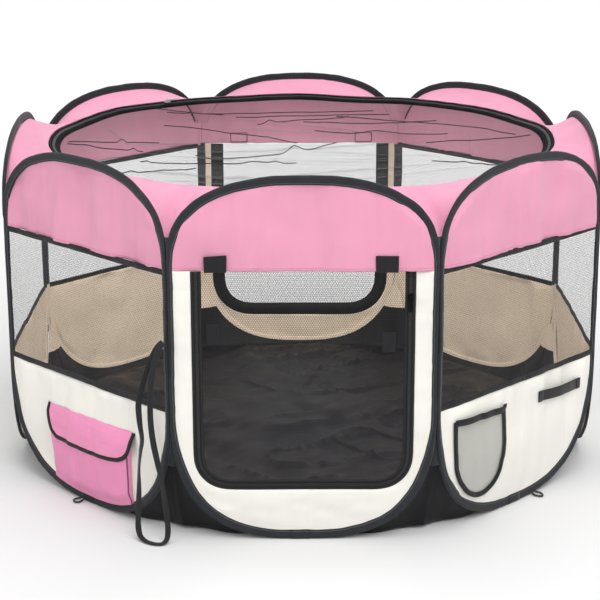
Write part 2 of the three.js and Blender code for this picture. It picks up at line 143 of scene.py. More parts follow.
def ss(a, b, x):
    t = np.clip((np.asarray(x, float) - a) / (b - a), 0, 1)
    return t * t * (3 - 2 * t)


# ------------------------------------------------------------------ materials
def srgb(h):
    h = h.lstrip("#")
    out = []
    for i in (0, 2, 4):
        c = int(h[i:i + 2], 16) / 255
        out.append(c / 12.92 if c <= 0.04045 else ((c + 0.055) / 1.055) ** 2.4)
    return (*out, 1.0)


class Nodes:
    def __init__(self, name):
        self.mat = bpy.data.materials.new(name)
        self.mat.use_nodes = True
        self.t = self.mat.node_tree
        self.t.nodes.clear()
        self.out = self.t.nodes.new("ShaderNodeOutputMaterial")
        self.uv = self.t.nodes.new("ShaderNodeUVMap")
        self.uv.uv_map = "UVMap"
        self.sep = self.t.nodes.new("ShaderNodeSeparateXYZ")
        self.link(self.uv.outputs[0], self.sep.inputs[0])
        self.u, self.v = self.sep.outputs[0], self.sep.outputs[1]

    def link(self, a, b):
        self.t.links.new(a, b)

    def _in(self, node, i, value):
        if hasattr(value, "node"):
            self.link(value, node.inputs[i])
        else:
            node.inputs[i].default_value = value

    def m(self, op, a, b=None, c=None):
        n = self.t.nodes.new("ShaderNodeMath")
        n.operation = op
        self._in(n, 0, a)
        if b is not None:
            self._in(n, 1, b)
        if c is not None:
            self._in(n, 2, c)
        return n.outputs[0]

    def noise(self, scale, detail=2.0, vector=None, rough=0.5, stretch=None):
        n = self.t.nodes.new("ShaderNodeTexNoise")
        n.inputs["Scale"].default_value = scale
        n.inputs["Detail"].default_value = detail
        n.inputs["Roughness"].default_value = rough
        src = vector if vector is not None else self.uv.outputs[0]
        if stretch:
            mp = self.t.nodes.new("ShaderNodeMapping")
            mp.inputs["Scale"].default_value = stretch
            self.link(src, mp.inputs["Vector"])
            src = mp.outputs[0]
        self.link(src, n.inputs["Vector"])
        return n.outputs["Fac"]

    def mix(self, fac, a, b):
        n = self.t.nodes.new("ShaderNodeMix")
        n.data_type = "RGBA"
        self._in(n, 0, fac)
        for i, value in ((6, a), (7, b)):
            if hasattr(value, "node"):
                self.link(value, n.inputs[i])
            else:
                n.inputs[i].default_value = value
        return n.outputs[2]

    def remap(self, x, a, b, c, d):
        n = self.t.nodes.new("ShaderNodeMapRange")
        n.clamp = True
        self._in(n, 0, x)
        for i, value in ((1, a), (2, b), (3, c), (4, d)):
            n.inputs[i].default_value = value
        return n.outputs[0]

    def bump(self, height, distance, strength=1.0, normal=None):
        n = self.t.nodes.new("ShaderNodeBump")
        n.inputs["Distance"].default_value = distance
        n.inputs["Strength"].default_value = strength
        self.link(height, n.inputs["Height"])
        if normal is not None:
            self.link(normal, n.inputs["Normal"])
        return n.outputs[0]

    def band(self, x, centre, half):
        return self.m("LESS_THAN", self.m("ABSOLUTE", self.m("SUBTRACT", x, centre)), half)

    def shader(self, **values):
        n = self.t.nodes.new("ShaderNodeBsdfPrincipled")
        for k, value in values.items():
            self._in(n, k.replace("_", " "), value)
        return n

    def weave(self, pitch):
        """Plain weave height, 0 to 1."""
        x = self.m("MULTIPLY", self.u, math.pi / pitch)
        y = self.m("MULTIPLY", self.v, math.pi / pitch)
        sx = self.m("ABSOLUTE", self.m("SINE", x))
        sy = self.m("ABSOLUTE", self.m("SINE", y))
        cx = self.m("FLOOR", self.m("DIVIDE", self.u, pitch))
        cy = self.m("FLOOR", self.m("DIVIDE", self.v, pitch))
        odd = self.m("ABSOLUTE", self.m("MODULO", self.m("ADD", cx, cy), 2.0))
        even = self.m("SUBTRACT", 1.0, odd)
        return self.m("ADD", self.m("MULTIPLY", sx, odd), self.m("MULTIPLY", sy, even))


def dash(n, along, across, where, length=0.0036, share=0.72, half=0.00042):
    """A line of stitches at across = where."""
    on = n.m("LESS_THAN", n.m("FRACT", n.m("DIVIDE", along, length)), share)
    return n.m("MULTIPLY", on, n.band(across, where, half))


def cloth_material(name, colour, vary=0.10, rough=0.72, sheen=0.35, pitch=0.00085, bump=0.00022, coat=0.0,
                   spec=0.35, dirt=0.05, crease=0.0018, stitches=(), lift=None):
    n = Nodes(name)
    base = srgb(colour)
    dark = tuple(c * (1 - vary) for c in base[:3]) + (1,)
    light = tuple(min(1, c * (1 + vary * 0.45)) for c in base[:3]) + (1,)
    big = n.noise(7.0, 3.0)
    streak = n.noise(60.0, 2.0, stretch=(1.0, 0.12, 1.0))
    wv = n.weave(pitch)
    col = n.mix(n.remap(big, 0.35, 0.68, 0, 1), dark, light)
    col = n.mix(n.m("MULTIPLY", n.remap(streak, 0.45, 0.75, 0, 1), 0.35), col, dark)
    col = n.mix(n.m("MULTIPLY", n.m("SUBTRACT", 1.0, wv), 0.22), col, tuple(c * 0.62 for c in base[:3]) + (1,))
    if dirt:
        spots = n.remap(n.noise(38.0, 4.0, rough=0.65), 0.60, 0.80, 0, dirt)
        col = n.mix(spots, col, (0.20, 0.17, 0.14, 1))
    rg = n.m("ADD", n.remap(n.noise(22.0, 3.0), 0.3, 0.7, rough - 0.07, rough + 0.07), n.m("MULTIPLY", wv, 0.03))
    fine = n.noise(150.0, 3.0, stretch=(1.0, 0.35, 1.0))
    nm = n.bump(n.noise(34.0, 3.0, stretch=(1.0, 0.4, 1.0)), crease, 0.75)
    nm = n.bump(fine, crease * 0.18, 0.5, nm)
    nm = n.bump(wv, bump, 0.55, nm)
    for axis, where, tone in stitches:
        along, across = (n.u, n.v) if axis == "v" else (n.v, n.u)
        line = dash(n, along, across, where)
        col = n.mix(line, col, srgb(tone))
        nm = n.bump(line, 0.0005, 0.8, nm)
    if lift:
        # the lining takes over from the floor cloth above a height held in a second map
        at = n.t.nodes.new("ShaderNodeUVMap")
        at.uv_map = "Lift"
        part = n.t.nodes.new("ShaderNodeSeparateXYZ")
        n.link(at.outputs[0], part.inputs[0])
        other = n.mix(n.m("SUBTRACT", 1.0, wv), srgb(lift[1]), tuple(c * 0.7 for c in srgb(lift[1])[:3]) + (1,))
        col = n.mix(n.m("GREATER_THAN", part.outputs[0], lift[0]), col, other)
    s = n.shader(Roughness=rg)
    n.link(col, s.inputs["Base Color"])
    n.link(nm, s.inputs["Normal"])
    s.inputs["Specular IOR Level"].default_value = spec
    s.inputs["Sheen Weight"].default_value = sheen
    s.inputs["Sheen Roughness"].default_value = 0.45
    s.inputs["Coat Weight"].default_value = coat
    s.inputs["Coat Roughness"].default_value = 0.35
    n.link(s.outputs[0], n.out.inputs[0])
    return n.mat


def tape_material(name, colour, rib=0.0011, stitch=True, rough=0.78, edge_at=0.0028, stitch_tone="#5b5f66", across=False,
                  wear=0.35, sheen=0.25, spec=0.30):
    """Woven tape: ribs across its length, a stitched edge, wear in random patches."""
    n = Nodes(name)
    base = srgb(colour)
    dark = tuple(c * 0.62 for c in base[:3]) + (1,)
    light = tuple(min(1, c * 1.75 + 0.006) for c in base[:3]) + (1,)
    ribs = n.m("ABSOLUTE", n.m("SINE", n.m("MULTIPLY", n.u, math.pi / rib)))
    cross = n.m("ABSOLUTE", n.m("SINE", n.m("MULTIPLY", n.v, math.pi / (rib * 0.7))))
    h = n.m("ADD", n.m("MULTIPLY", ribs, 0.7), n.m("MULTIPLY", cross, 0.3))
    col = n.mix(n.m("MULTIPLY", h, 0.6), dark, base)
    worn = n.remap(n.noise(45.0, 4.0, rough=0.6), 0.52, 0.78, 0, wear)
    col = n.mix(worn, col, light)
    col = n.mix(n.remap(n.noise(9.0, 2.0), 0.4, 0.7, 0, 0.35), col, dark)
    nm = n.bump(n.noise(70.0, 3.0, stretch=(0.6, 1.0, 1.0)), 0.0009, 0.7)
    nm = n.bump(h, 0.00028, 0.7, nm)
    if stitch:
        line = dash(n, n.u, n.v, edge_at)
        col = n.mix(line, col, srgb(stitch_tone))
        nm = n.bump(line, 0.0006, 0.9, nm)
    s = n.shader(Roughness=n.remap(h, 0, 1, rough + 0.08, rough - 0.08))
    n.link(col, s.inputs["Base Color"])
    n.link(nm, s.inputs["Normal"])
    s.inputs["Specular IOR Level"].default_value = spec
    s.inputs["Sheen Weight"].default_value = sheen
    s.inputs["Sheen Roughness"].default_value = 0.4
    n.link(s.outputs[0], n.out.inputs[0])
    return n.mat


def net_material(name, pitch=0.0036, thread=0.00030, colour="#1d1d20"):
    """Knitted hexagonal net: threads are opaque, the cells are open."""
    n = Nodes(name)
    row = pitch * math.sqrt(3)

    def cell(du, dv):
        x = n.m("SUBTRACT", n.m("ABSOLUTE", n.m("FRACT", n.m("ADD", n.m("DIVIDE", n.u, pitch), du))), 0.5)
        y = n.m("SUBTRACT", n.m("ABSOLUTE", n.m("FRACT", n.m("ADD", n.m("DIVIDE", n.v, row), dv))), 0.5)
        x = n.m("ABSOLUTE", n.m("MULTIPLY", x, pitch))
        y = n.m("ABSOLUTE", n.m("MULTIPLY", y, row))
        # distance to the centre measured across the flats of a hexagon
        return n.m("MAXIMUM", x, n.m("ADD", n.m("MULTIPLY", x, 0.5), n.m("MULTIPLY", y, math.sqrt(3) / 2)))

    near = n.m("MINIMUM", cell(0.0, 0.0), cell(0.5, 0.5))
    solid = n.m("GREATER_THAN", near, pitch / 2 - thread / 2 * 1.15)
    fuzz = n.m("GREATER_THAN", n.noise(900.0, 1.0), 0.30)
    alpha = n.m("MULTIPLY", solid, n.m("ADD", 0.8, n.m("MULTIPLY", fuzz, 0.2)))
    s = n.shader(Roughness=0.62)
    base = srgb(colour)
    col = n.mix(n.noise(30.0, 2.0), base, tuple(c * 2.0 for c in base[:3]) + (1,))
    n.link(col, s.inputs["Base Color"])
    n.link(alpha, s.inputs["Alpha"])
    s.inputs["Sheen Weight"].default_value = 0.3
    s.inputs["Specular IOR Level"].default_value = 0.4
    n.link(s.outputs[0], n.out.inputs[0])
    return n.mat


def metal_material(name, colour, rough=0.28):
    n = Nodes(name)
    geo = n.t.nodes.new("ShaderNodeTexCoord")
    wear = n.noise(600.0, 4.0, vector=geo.outputs["Object"])
    base = srgb(colour)
    col = n.mix(n.remap(wear, 0.45, 0.7, 0, 1), base, tuple(c * 0.72 for c in base[:3]) + (1,))
    s = n.shader(Roughness=n.remap(wear, 0.3, 0.7, rough - 0.06, rough + 0.14))
    n.link(col, s.inputs["Base Color"])
    n.link(n.bump(wear, 0.0001, 0.5), s.inputs["Normal"])
    s.inputs["Metallic"].default_value = 1.0
    n.link(s.outputs[0], n.out.inputs[0])
    return n.mat


PINK = cloth_material("pink_oxford_outer", "#d892ac", vary=0.06, rough=0.72, sheen=0.12, dirt=0.02, bump=0.0003)
PINK_HEM = cloth_material("pink_oxford_hem", "#d892ac", vary=0.06, rough=0.72, sheen=0.12, dirt=0.02, bump=0.0003,
                          stitches=(("v", HEADER + 0.0045, "#c27089"),))
PINK_POCKET = cloth_material("pink_oxford_pocket", "#e18bb2", vary=0.06, rough=0.72, sheen=0.12, dirt=0.02, bump=0.0003)
PINK_IN = cloth_material("pink_oxford_inner", "#d898ae", vary=0.06, rough=0.62, sheen=0.08, dirt=0.03)
# dark maroon: the tab stitching seen on the header's inner face, and painted shade on the front-left pocket's
# right-hand corner
STITCH_AND_PAINTED_SHADE = cloth_material("stitch_and_painted_shade_maroon", "#7a3f57", vary=0.1, dirt=0.0)
CREAM = cloth_material("cream_oxford_outer", "#e5e3db", vary=0.04, rough=0.74, sheen=0.12, dirt=0.03, bump=0.0003)
CREAM_IN = cloth_material("beige_lining", "#e4d3bb", vary=0.06, rough=0.6, sheen=0.08, dirt=0.04)
FLOOR = cloth_material("black_oxford_floor", "#09090e", vary=0.25, rough=0.40, sheen=0.0, coat=0.0, spec=0.24,
                       crease=0.0048, dirt=0.0)
FLOOR_IN = cloth_material("black_oxford_floor_inside", "#09090e", vary=0.25, rough=0.40, sheen=0.0, coat=0.0, spec=0.24,
                          crease=0.0048, dirt=0.0, lift=(0.086, "#e4d3bb"))
BINDING = tape_material("binding_tape", "#25272c", sheen=0.12)
WINDOW = tape_material("window_tape", "#161618", rib=0.0010, edge_at=0.0030, stitch_tone="#2b2b2e", sheen=0.10)
ZIP_TAPE = tape_material("zip_tape", "#121213", rib=0.0008, edge_at=0.0020, stitch_tone="#28282b", rough=0.7, sheen=0.08)
RING_TAPE = tape_material("ring_tape", "#101013", rib=0.0009, edge_at=0.0020, stitch_tone="#28282b", rough=0.8, sheen=0.0, spec=0.06)
NET_FOLD = cloth_material("net_fold", "#2c2c2f", vary=0.3, rough=0.8, sheen=0.05, pitch=0.0011, dirt=0.0)
WEBBING = tape_material("webbing", "#19191c", rib=0.0016, edge_at=0.0018, stitch_tone="#46474d", rough=0.7)
COIL = cloth_material("zip_coil", "#19191b", vary=0.2, rough=0.38, sheen=0.0, spec=0.6, pitch=0.0006, dirt=0.0)
NET = net_material("window_net", thread=0.00037, colour="#161618")
NET_DOOR = net_material("door_net", thread=0.00038, colour="#161618")
NET_ROOF = net_material("roof_net", pitch=0.0034, thread=0.00026, colour="#19191c")
NET_POCKET = net_material("pocket_net", pitch=0.0026, thread=0.00033, colour="#2e2f2d")
CHROME = metal_material("zip_metal", "#c9ccd0")
DARK_METAL = metal_material("zip_metal_dark", "#1b1b1d", rough=0.48)
STEEL = metal_material("spring_steel", "#8f9296", rough=0.32)


def hook_material():
    n = Nodes("hook_tape")
    loops = n.noise(1400.0, 2.0, rough=0.8)
    col = n.mix(loops, (0.004, 0.004, 0.005, 1), (0.018, 0.018, 0.020, 1))
    s = n.shader(Roughness=0.92)
    n.link(col, s.inputs["Base Color"])
    n.link(n.bump(loops, 0.0009, 1.0), s.inputs["Normal"])
    s.inputs["Sheen Weight"].default_value = 0.10
    s.inputs["Specular IOR Level"].default_value = 0.25
    n.link(s.outputs[0], n.out.inputs[0])
    return n.mat


HOOK = hook_material()


# ------------------------------------------------------------------ mesh helpers
def build(name, verts, faces, uvs=None, mats=(), face_mats=None, smooth=True):
    me = bpy.data.meshes.new(name)
    me.from_pydata([tuple(v) for v in verts], [], [tuple(int(i) for i in f) for f in faces])
    me.update()
    for m in mats:
        me.materials.append(m)
    if face_mats is not None:
        me.polygons.foreach_set("material_index", np.asarray(face_mats, np.int32))
    layer = me.uv_layers.new(name="UVMap")
    if uvs is not None:
        uvs = np.asarray(uvs, float)
        loops = np.zeros(len(me.loops), np.int32)
        me.loops.foreach_get("vertex_index", loops)
        layer.data.foreach_set("uv", uvs[loops].ravel())
    if smooth:
        me.polygons.foreach_set("use_smooth", np.ones(len(me.polygons), bool))
    me.update()
    o = bpy.data.objects.new(name, me)
    scene.collection.objects.link(o)
    return o


def grid_normals(P):
    du = np.gradient(P, axis=1)
    dv = np.gradient(P, axis=0)
    n = np.cross(du, dv)
    l = np.linalg.norm(n, axis=-1, keepdims=True)
    n = n / np.maximum(l, 1e-12)
    bad = l[..., 0] < 1e-10
    if bad.any():
        n[bad] = n[~bad].mean(axis=0)
        n[bad] /= np.linalg.norm(n[bad], axis=-1, keepdims=True)
    return n


def grid_faces(r, c, flip=False, base=0):
    i, j = np.meshgrid(np.arange(r - 1), np.arange(c - 1), indexing="ij")
    a = base + i * c + j
    q = np.stack([a, a + 1, a + c + 1, a + c], -1).reshape(-1, 4)
    return q[:, ::-1] if flip else q


def shared_normals(grids, flip_to):
    """Normals of neighbouring sectors, averaged along the column that they share."""
    ns = []
    for P in grids:
        n = grid_normals(P)
        if float((n * np.asarray(flip_to)).sum(-1).mean()) < 0:
            n = -n
        ns.append(n)
    out = [n.copy() for n in ns]
    for i in range(len(ns)):
        j = (i + 1) % len(ns)
        mean = ns[i][:, -1] + ns[j][:, 0]
        mean /= np.linalg.norm(mean, axis=-1, keepdims=True)
        for q, w in enumerate((1.0, 0.6, 0.3, 0.1)):
            for a, col in ((out[i], -1 - q), (out[j], q)):
                v = a[:, col] * (1 - w) + mean * w
                a[:, col] = v / np.linalg.norm(v, axis=-1, keepdims=True)
    return out


def cloth(name, P, UV, outer, inner=None, thick=0.0009, out=None, normals=None, lift=None):
    """A sheet with two faces and a closed rim; out is the direction that its outer face looks."""
    P = np.asarray(P, float)
    r, c = P.shape[:2]
    n = grid_normals(P) if normals is None else normals * 1.0
    raw = grid_normals(P)
    ref = np.asarray(out(P) if callable(out) else out, float)
    flip = float((raw * ref).sum(-1).mean()) < 0
    if flip and normals is None:
        n = -n
    top = (P + n * thick / 2).reshape(-1, 3)
    low = (P - n * thick / 2).reshape(-1, 3)
    k = r * c
    f_top = grid_faces(r, c, flip)
    f_low = grid_faces(r, c, not flip, k)
    ring = [(0, j) for j in range(c)] + [(i, c - 1) for i in range(1, r)] \
        + [(r - 1, j) for j in range(c - 2, -1, -1)] + [(i, 0) for i in range(r - 2, 0, -1)]
    ids = [i * c + j for i, j in ring]
    rim = []
    for a, b in zip(ids, ids[1:] + ids[:1]):
        q = (a, a + k, b + k, b)
        rim.append(q[::-1] if flip else q)
    faces = np.concatenate([f_top, f_low, np.array(rim)])
    fm = np.concatenate([np.zeros(len(f_top)), np.ones(len(f_low)), np.zeros(len(rim))])
    uv = np.concatenate([UV.reshape(-1, 2)] * 2)
    o = build(name, np.concatenate([top, low]), faces, uv, (outer, inner or outer), fm)
    if lift is not None:
        layer = o.data.uv_layers.new(name="Lift")
        loops = np.zeros(len(o.data.loops), np.int32)
        o.data.loops.foreach_get("vertex_index", loops)
        tall = np.concatenate([lift.reshape(-1)] * 2)[loops]
        layer.data.foreach_set("uv", np.stack([tall, np.zeros_like(tall)], -1).ravel())
        o.data.uv_layers["UVMap"].active = True
    if normals is not None:
        flat = normals.reshape(-1, 3)
        o.data.normals_split_custom_set_from_vertices([tuple(v) for v in np.concatenate([flat, -flat])])
    return o


def net_sheet(name, P, UV, material):
    r, c = P.shape[:2]
    return build(name, P.reshape(-1, 3), grid_faces(r, c), UV.reshape(-1, 2), (material,))


def sweep(name, centre, side, up, section, material, closed=False, v_of=None, lengths=None, cap=True, mats=None, mat_of=None):
    """section is [(a, b), ...] along side and up; or a function of the station giving it."""
    centre, side, up = (np.asarray(x, float) for x in (centre, side, up))
    k = len(centre)
    if lengths is None:
        d = np.linalg.norm(np.diff(centre, axis=0), axis=1)
        lengths = np.concatenate([[0], np.cumsum(d)])
    rings, uv = [], []
    for i in range(k):
        sec = np.asarray(section(i) if callable(section) else section, float)
        rings.append(centre[i] + sec[:, :1] * side[i] + sec[:, 1:2] * up[i])
        v = v_of(i, sec) if v_of else sec[:, 0] - sec[:, 0].min()
        uv.append(np.stack([np.full(len(sec), lengths[i]), v], -1))
    m = len(rings[0])
    V, UV = np.concatenate(rings), np.concatenate(uv)
    faces, fm = [], []
    for i in range(k if closed else k - 1):
        a, b = i * m, ((i + 1) % k) * m
        for j in range(m):
            q = (j + 1) % m
            faces.append((a + j, a + q, b + q, b + j))
            fm.append(mat_of(i, j) if mat_of else 0)
    if not closed and cap:
        faces.append(tuple(range(m))[::-1])
        faces.append(tuple((k - 1) * m + j for j in range(m)))
        fm += [0, 0]
    o = build(name, V, faces, UV, mats or (material,), fm)
    bm = bmesh.new()
    bm.from_mesh(o.data)
    bmesh.ops.recalc_face_normals(bm, faces=bm.faces)
    bm.to_mesh(o.data)
    bm.free()
    return o


def rounded(w, h, r=None, n=4):
    """Rounded rectangle section, w by h."""
    r = min(w, h) / 2 * 0.98 if r is None else r
    pts = []
    for cx, cy, a0 in ((w / 2 - r, h / 2 - r, 0), (-w / 2 + r, h / 2 - r, 90), (-w / 2 + r, -h / 2 + r, 180),
                       (w / 2 - r, -h / 2 + r, 270)):
        for k in range(n + 1):
            a = math.radians(a0 + 90 * k / n)
            pts.append((cx + r * math.cos(a), cy + r * math.sin(a)))
    return pts


def teeth(name, centre, side, up, material, pitch=0.0021, width=0.0052, height=0.0016, lift=0.0):
    """Zip coil: one small rounded tooth every pitch."""
    centre, side, up = (np.asarray(x, float) for x in (centre, side, up))
    d = np.concatenate([[0], np.cumsum(np.linalg.norm(np.diff(centre, axis=0), axis=1))])
    count = int(d[-1] / pitch)
    V, F, UV = [], [], []
    for i in range(count):
        s = (i + 0.5) * pitch
        at = lambda arr: np.array([np.interp(s, d, arr[:, q]) for q in range(3)])
        c, sd, u = at(centre), at(side), at(up)
        sd, u = sd / np.linalg.norm(sd), u / np.linalg.norm(u)
        al = np.cross(sd, u)
        shift = (0.0004 if i % 2 else -0.0004)
        for a, scale in ((-0.5, 0.55), (-0.36, 1.0), (0.36, 1.0), (0.5, 0.55)):
            for b in range(6):
                g = math.radians(60 * b + 30)
                V.append(c + sd * (a * width + shift) + al * math.cos(g) * pitch * 0.40 * scale
                         + u * (lift + height / 2 + math.sin(g) * height * 0.5 * scale))
                UV.append((s, a * width + 0.01))
        k = i * 24
        for q in range(3):
            for b in range(6):
                F.append((k + q * 6 + b, k + q * 6 + (b + 1) % 6, k + (q + 1) * 6 + (b + 1) % 6, k + (q + 1) * 6 + b))
        F.append(tuple(k + b for b in range(6))[::-1])
        F.append(tuple(k + 18 + b for b in range(6)))
    o = build(name, V, F, UV, (material,))
    bm = bmesh.new()
    bm.from_mesh(o.data)
    bmesh.ops.recalc_face_normals(bm, faces=bm.faces)
    bm.to_mesh(o.data)
    bm.free()
    return o


def patch(name, corners, thick, material, out, bend=None, n=8):
    """A small tape patch: rounded slab over a quad of four corner points."""
    c = np.asarray(corners, float)
    s = np.linspace(0, 1, n)
    P = np.zeros((n, n, 3))
    for i, b in enumerate(s):
        for j, a in enumerate(s):
            P[i, j] = (c[0] * (1 - a) + c[1] * a) * (1 - b) + (c[3] * (1 - a) + c[2] * a) * b
    w, h = np.linalg.norm(c[1] - c[0]), np.linalg.norm(c[3] - c[0])
    X, Y = np.meshgrid(s * w, s * h)
    P = P + np.asarray(out) * (0.0004 * vn(X / 0.008, Y / 0.008, 5))[..., None]
    o = cloth(name, P, np.stack([X, Y], -1), material, material, thick, out)
    mod = o.modifiers.new("edge", "BEVEL")
    mod.width, mod.segments, mod.limit_method, mod.angle_limit = thick * 0.35, 2, "ANGLE", math.radians(50)
    return o


# ------------------------------------------------------------------ outlines
def top_z(u):
    return H - TOP_RISE + TOP_RISE * np.maximum(0, 1 - (np.abs(u) / HALF) ** TOP_POWER) ** (1 / TOP_POWER)


def foot_z(u):
    return FOOT + FOOT_RISE - FOOT_RISE * np.maximum(0, 1 - (np.abs(u) / HALF) ** FOOT_POWER) ** (1 / FOOT_POWER)


def loop_points(k=56):
    """The closed outer outline of a panel, evenly spaced, and its inward normals."""
    phi = np.linspace(0, math.pi / 2, 80)
    tu, tz = HALF * np.cos(phi) ** (2 / TOP_POWER), H - TOP_RISE + TOP_RISE * np.sin(phi) ** (2 / TOP_POWER)
    fu, fz = HALF * np.cos(phi) ** (2 / FOOT_POWER), FOOT + FOOT_RISE - FOOT_RISE * np.sin(phi) ** (2 / FOOT_POWER)
    u = np.concatenate([tu, -tu[::-1][1:], -fu, fu[::-1][1:]])
    z = np.concatenate([tz, tz[::-1][1:], fz, fz[::-1][1:]])
    u, z = np.append(u, u[0]), np.append(z, z[0])
    d = np.concatenate([[0], np.cumsum(np.hypot(np.diff(u), np.diff(z)))])
    s = np.linspace(0, d[-1], 4 * k + 1)[:-1]
    pu, pz = np.interp(s, d, u), np.interp(s, d, z)
    tu_, tz_ = np.roll(pu, -1) - np.roll(pu, 1), np.roll(pz, -1) - np.roll(pz, 1)
    l = np.hypot(tu_, tz_)
    return pu, pz, -tz_ / l, tu_ / l, s, d[-1]


LU, LZ, NU, NZ, LS, LTOTAL = loop_points()


_inner = (LU >= -1e-6) & (LZ < 0.30)
_lu, _lz = (LU + NU * INSET)[_inner], (LZ + NZ * INSET)[_inner]
_ord = np.argsort(_lu)
EDGE = HALF - INSET


def low_edge(u):
    return np.minimum(np.interp(np.abs(u), _lu[_ord], _lz[_ord]), SILL - 0.002)


def band_width(z):
    return NARROW + (WIDE - NARROW) * np.maximum(ss(0.445, 0.520, z), 1 - ss(0.095, 0.205, z))


def u_path(h, foot, c, top=HEADER - 0.0005, k=14, side=40, mid=60):
    """U outline from the upper right corner round the foot to the upper left."""
    pts = [(h, z) for z in np.linspace(top, foot + c, side)[:-1]]
    for phi in np.linspace(0, math.pi / 2, k):
        pts.append((h - c + c * math.cos(phi) ** (2 / 2.3), foot + c - c * math.sin(phi) ** (2 / 2.3)))
    right = pts
    left = [(-a, b) for a, b in reversed(right)]
    middle = [(a, foot) for a in np.linspace(h - c, -(h - c), mid)[1:-1]]
    out = np.array(right + middle + left)
    d = np.concatenate([[0], np.cumsum(np.hypot(*np.diff(out, axis=0).T))])
    s = np.linspace(0, d[-1], 220)
    return np.stack([np.interp(s, d, out[:, 0]), np.interp(s, d, out[:, 1])], -1)


# ------------------------------------------------------------------ camera
CAM = dict(place=(-0.0172, -2.9213, 1.1119), yaw=-0.0055, pitch=-0.2756, roll=-0.0040, f=1661.13, shift=(17.0, -20.9))
cam_data = bpy.data.cameras.new("camera")
cam_data.sensor_width = 36.0
cam_data.lens = CAM["f"] / 600 * 36.0
cam_data.shift_x = CAM["shift"][0] / 600
cam_data.shift_y = CAM["shift"][1] / 600
cam = bpy.data.objects.new("camera", cam_data)
cy, sy = math.cos(CAM["yaw"]), math.sin(CAM["yaw"])
cp, sp = math.cos(CAM["pitch"]), math.sin(CAM["pitch"])
fwd = Vector((sy * cp, cy * cp, sp))
right = Vector((cy, -sy, 0))
up = right.cross(fwd)
cr, sr = math.cos(CAM["roll"]), math.sin(CAM["roll"])
r2, u2 = cr * right + sr * up, -sr * right + cr * up
cam.matrix_world = Matrix((
    (r2.x, u2.x, -fwd.x, CAM["place"][0]),
    (r2.y, u2.y, -fwd.y, CAM["place"][1]),
    (r2.z, u2.z, -fwd.z, CAM["place"][2]),
    (0, 0, 0, 1)))
scene.collection.objects.link(cam)
scene.camera = cam


# ------------------------------------------------------------------ panels
def bow(u, z):
    """How far the taut cloth stands out between its wire edges."""
    return 0.0035 * np.clip(1 - (u / 0.2) ** 2, 0, 1) * ss(0.0, 0.12, z) * (1 - ss(0.46, 0.58, z))


def wrinkle(u, z, seed, amp=1.0):
    soft = 0.0022 * vn(u / 0.060, z / 0.30, seed) + 0.0012 * vn(u / 0.027, z / 0.22, seed + 3)
    fine = 0.00045 * vn(u / 0.011, z / 0.09, seed + 5) + 0.0007 * vn((u + z * 0.5) / 0.05, (z - u * 0.4) / 0.05, seed + 9)
    return amp * (soft + fine)


def lower_n(p, u, z):
    """How far the lower cloth of a panel stands out at a place."""
    seed = 11 + 23 * list(PANELS).index(p)
    u, z = np.broadcast_arrays(np.asarray(u, float), np.asarray(z, float))
    low = low_edge(u)
    fade = ss(0, 0.028, EDGE - np.abs(u)) * ss(0, 0.030, z - low) * ss(0, 0.02, SILL - z + 0.006)
    pull = 0.0016 * vn(u / 0.013, z / 0.16, seed + 61) * np.exp(-np.maximum(SILL - z, 0) / 0.060)
    return fade * (wrinkle(u, z, seed + 40, 2.5) + 1.2 * bow(u, z) + pull)


def upper_n(p, u, z, top):
    seed = 11 + 23 * list(PANELS).index(p)
    fade = ss(0, 0.022, EDGE - np.abs(u)) * ss(0, 0.022, np.maximum(top - z, 0))
    hem = np.exp(-(z - HEADER) / 0.014)
    gather = 0.0006 * vn(u / 0.0045, z / 0.05, seed + 8) + 0.0008 * vn(u / 0.009, z / 0.05, seed + 7)
    return fade * (wrinkle(u, z, seed, 2.6) + bow(u, z)) + gather * hem * ss(0, 0.02, EDGE - np.abs(u))


def sheet_uv(u, z, seed):
    return np.stack([u + 0.37 * (seed % 7), z], -1)


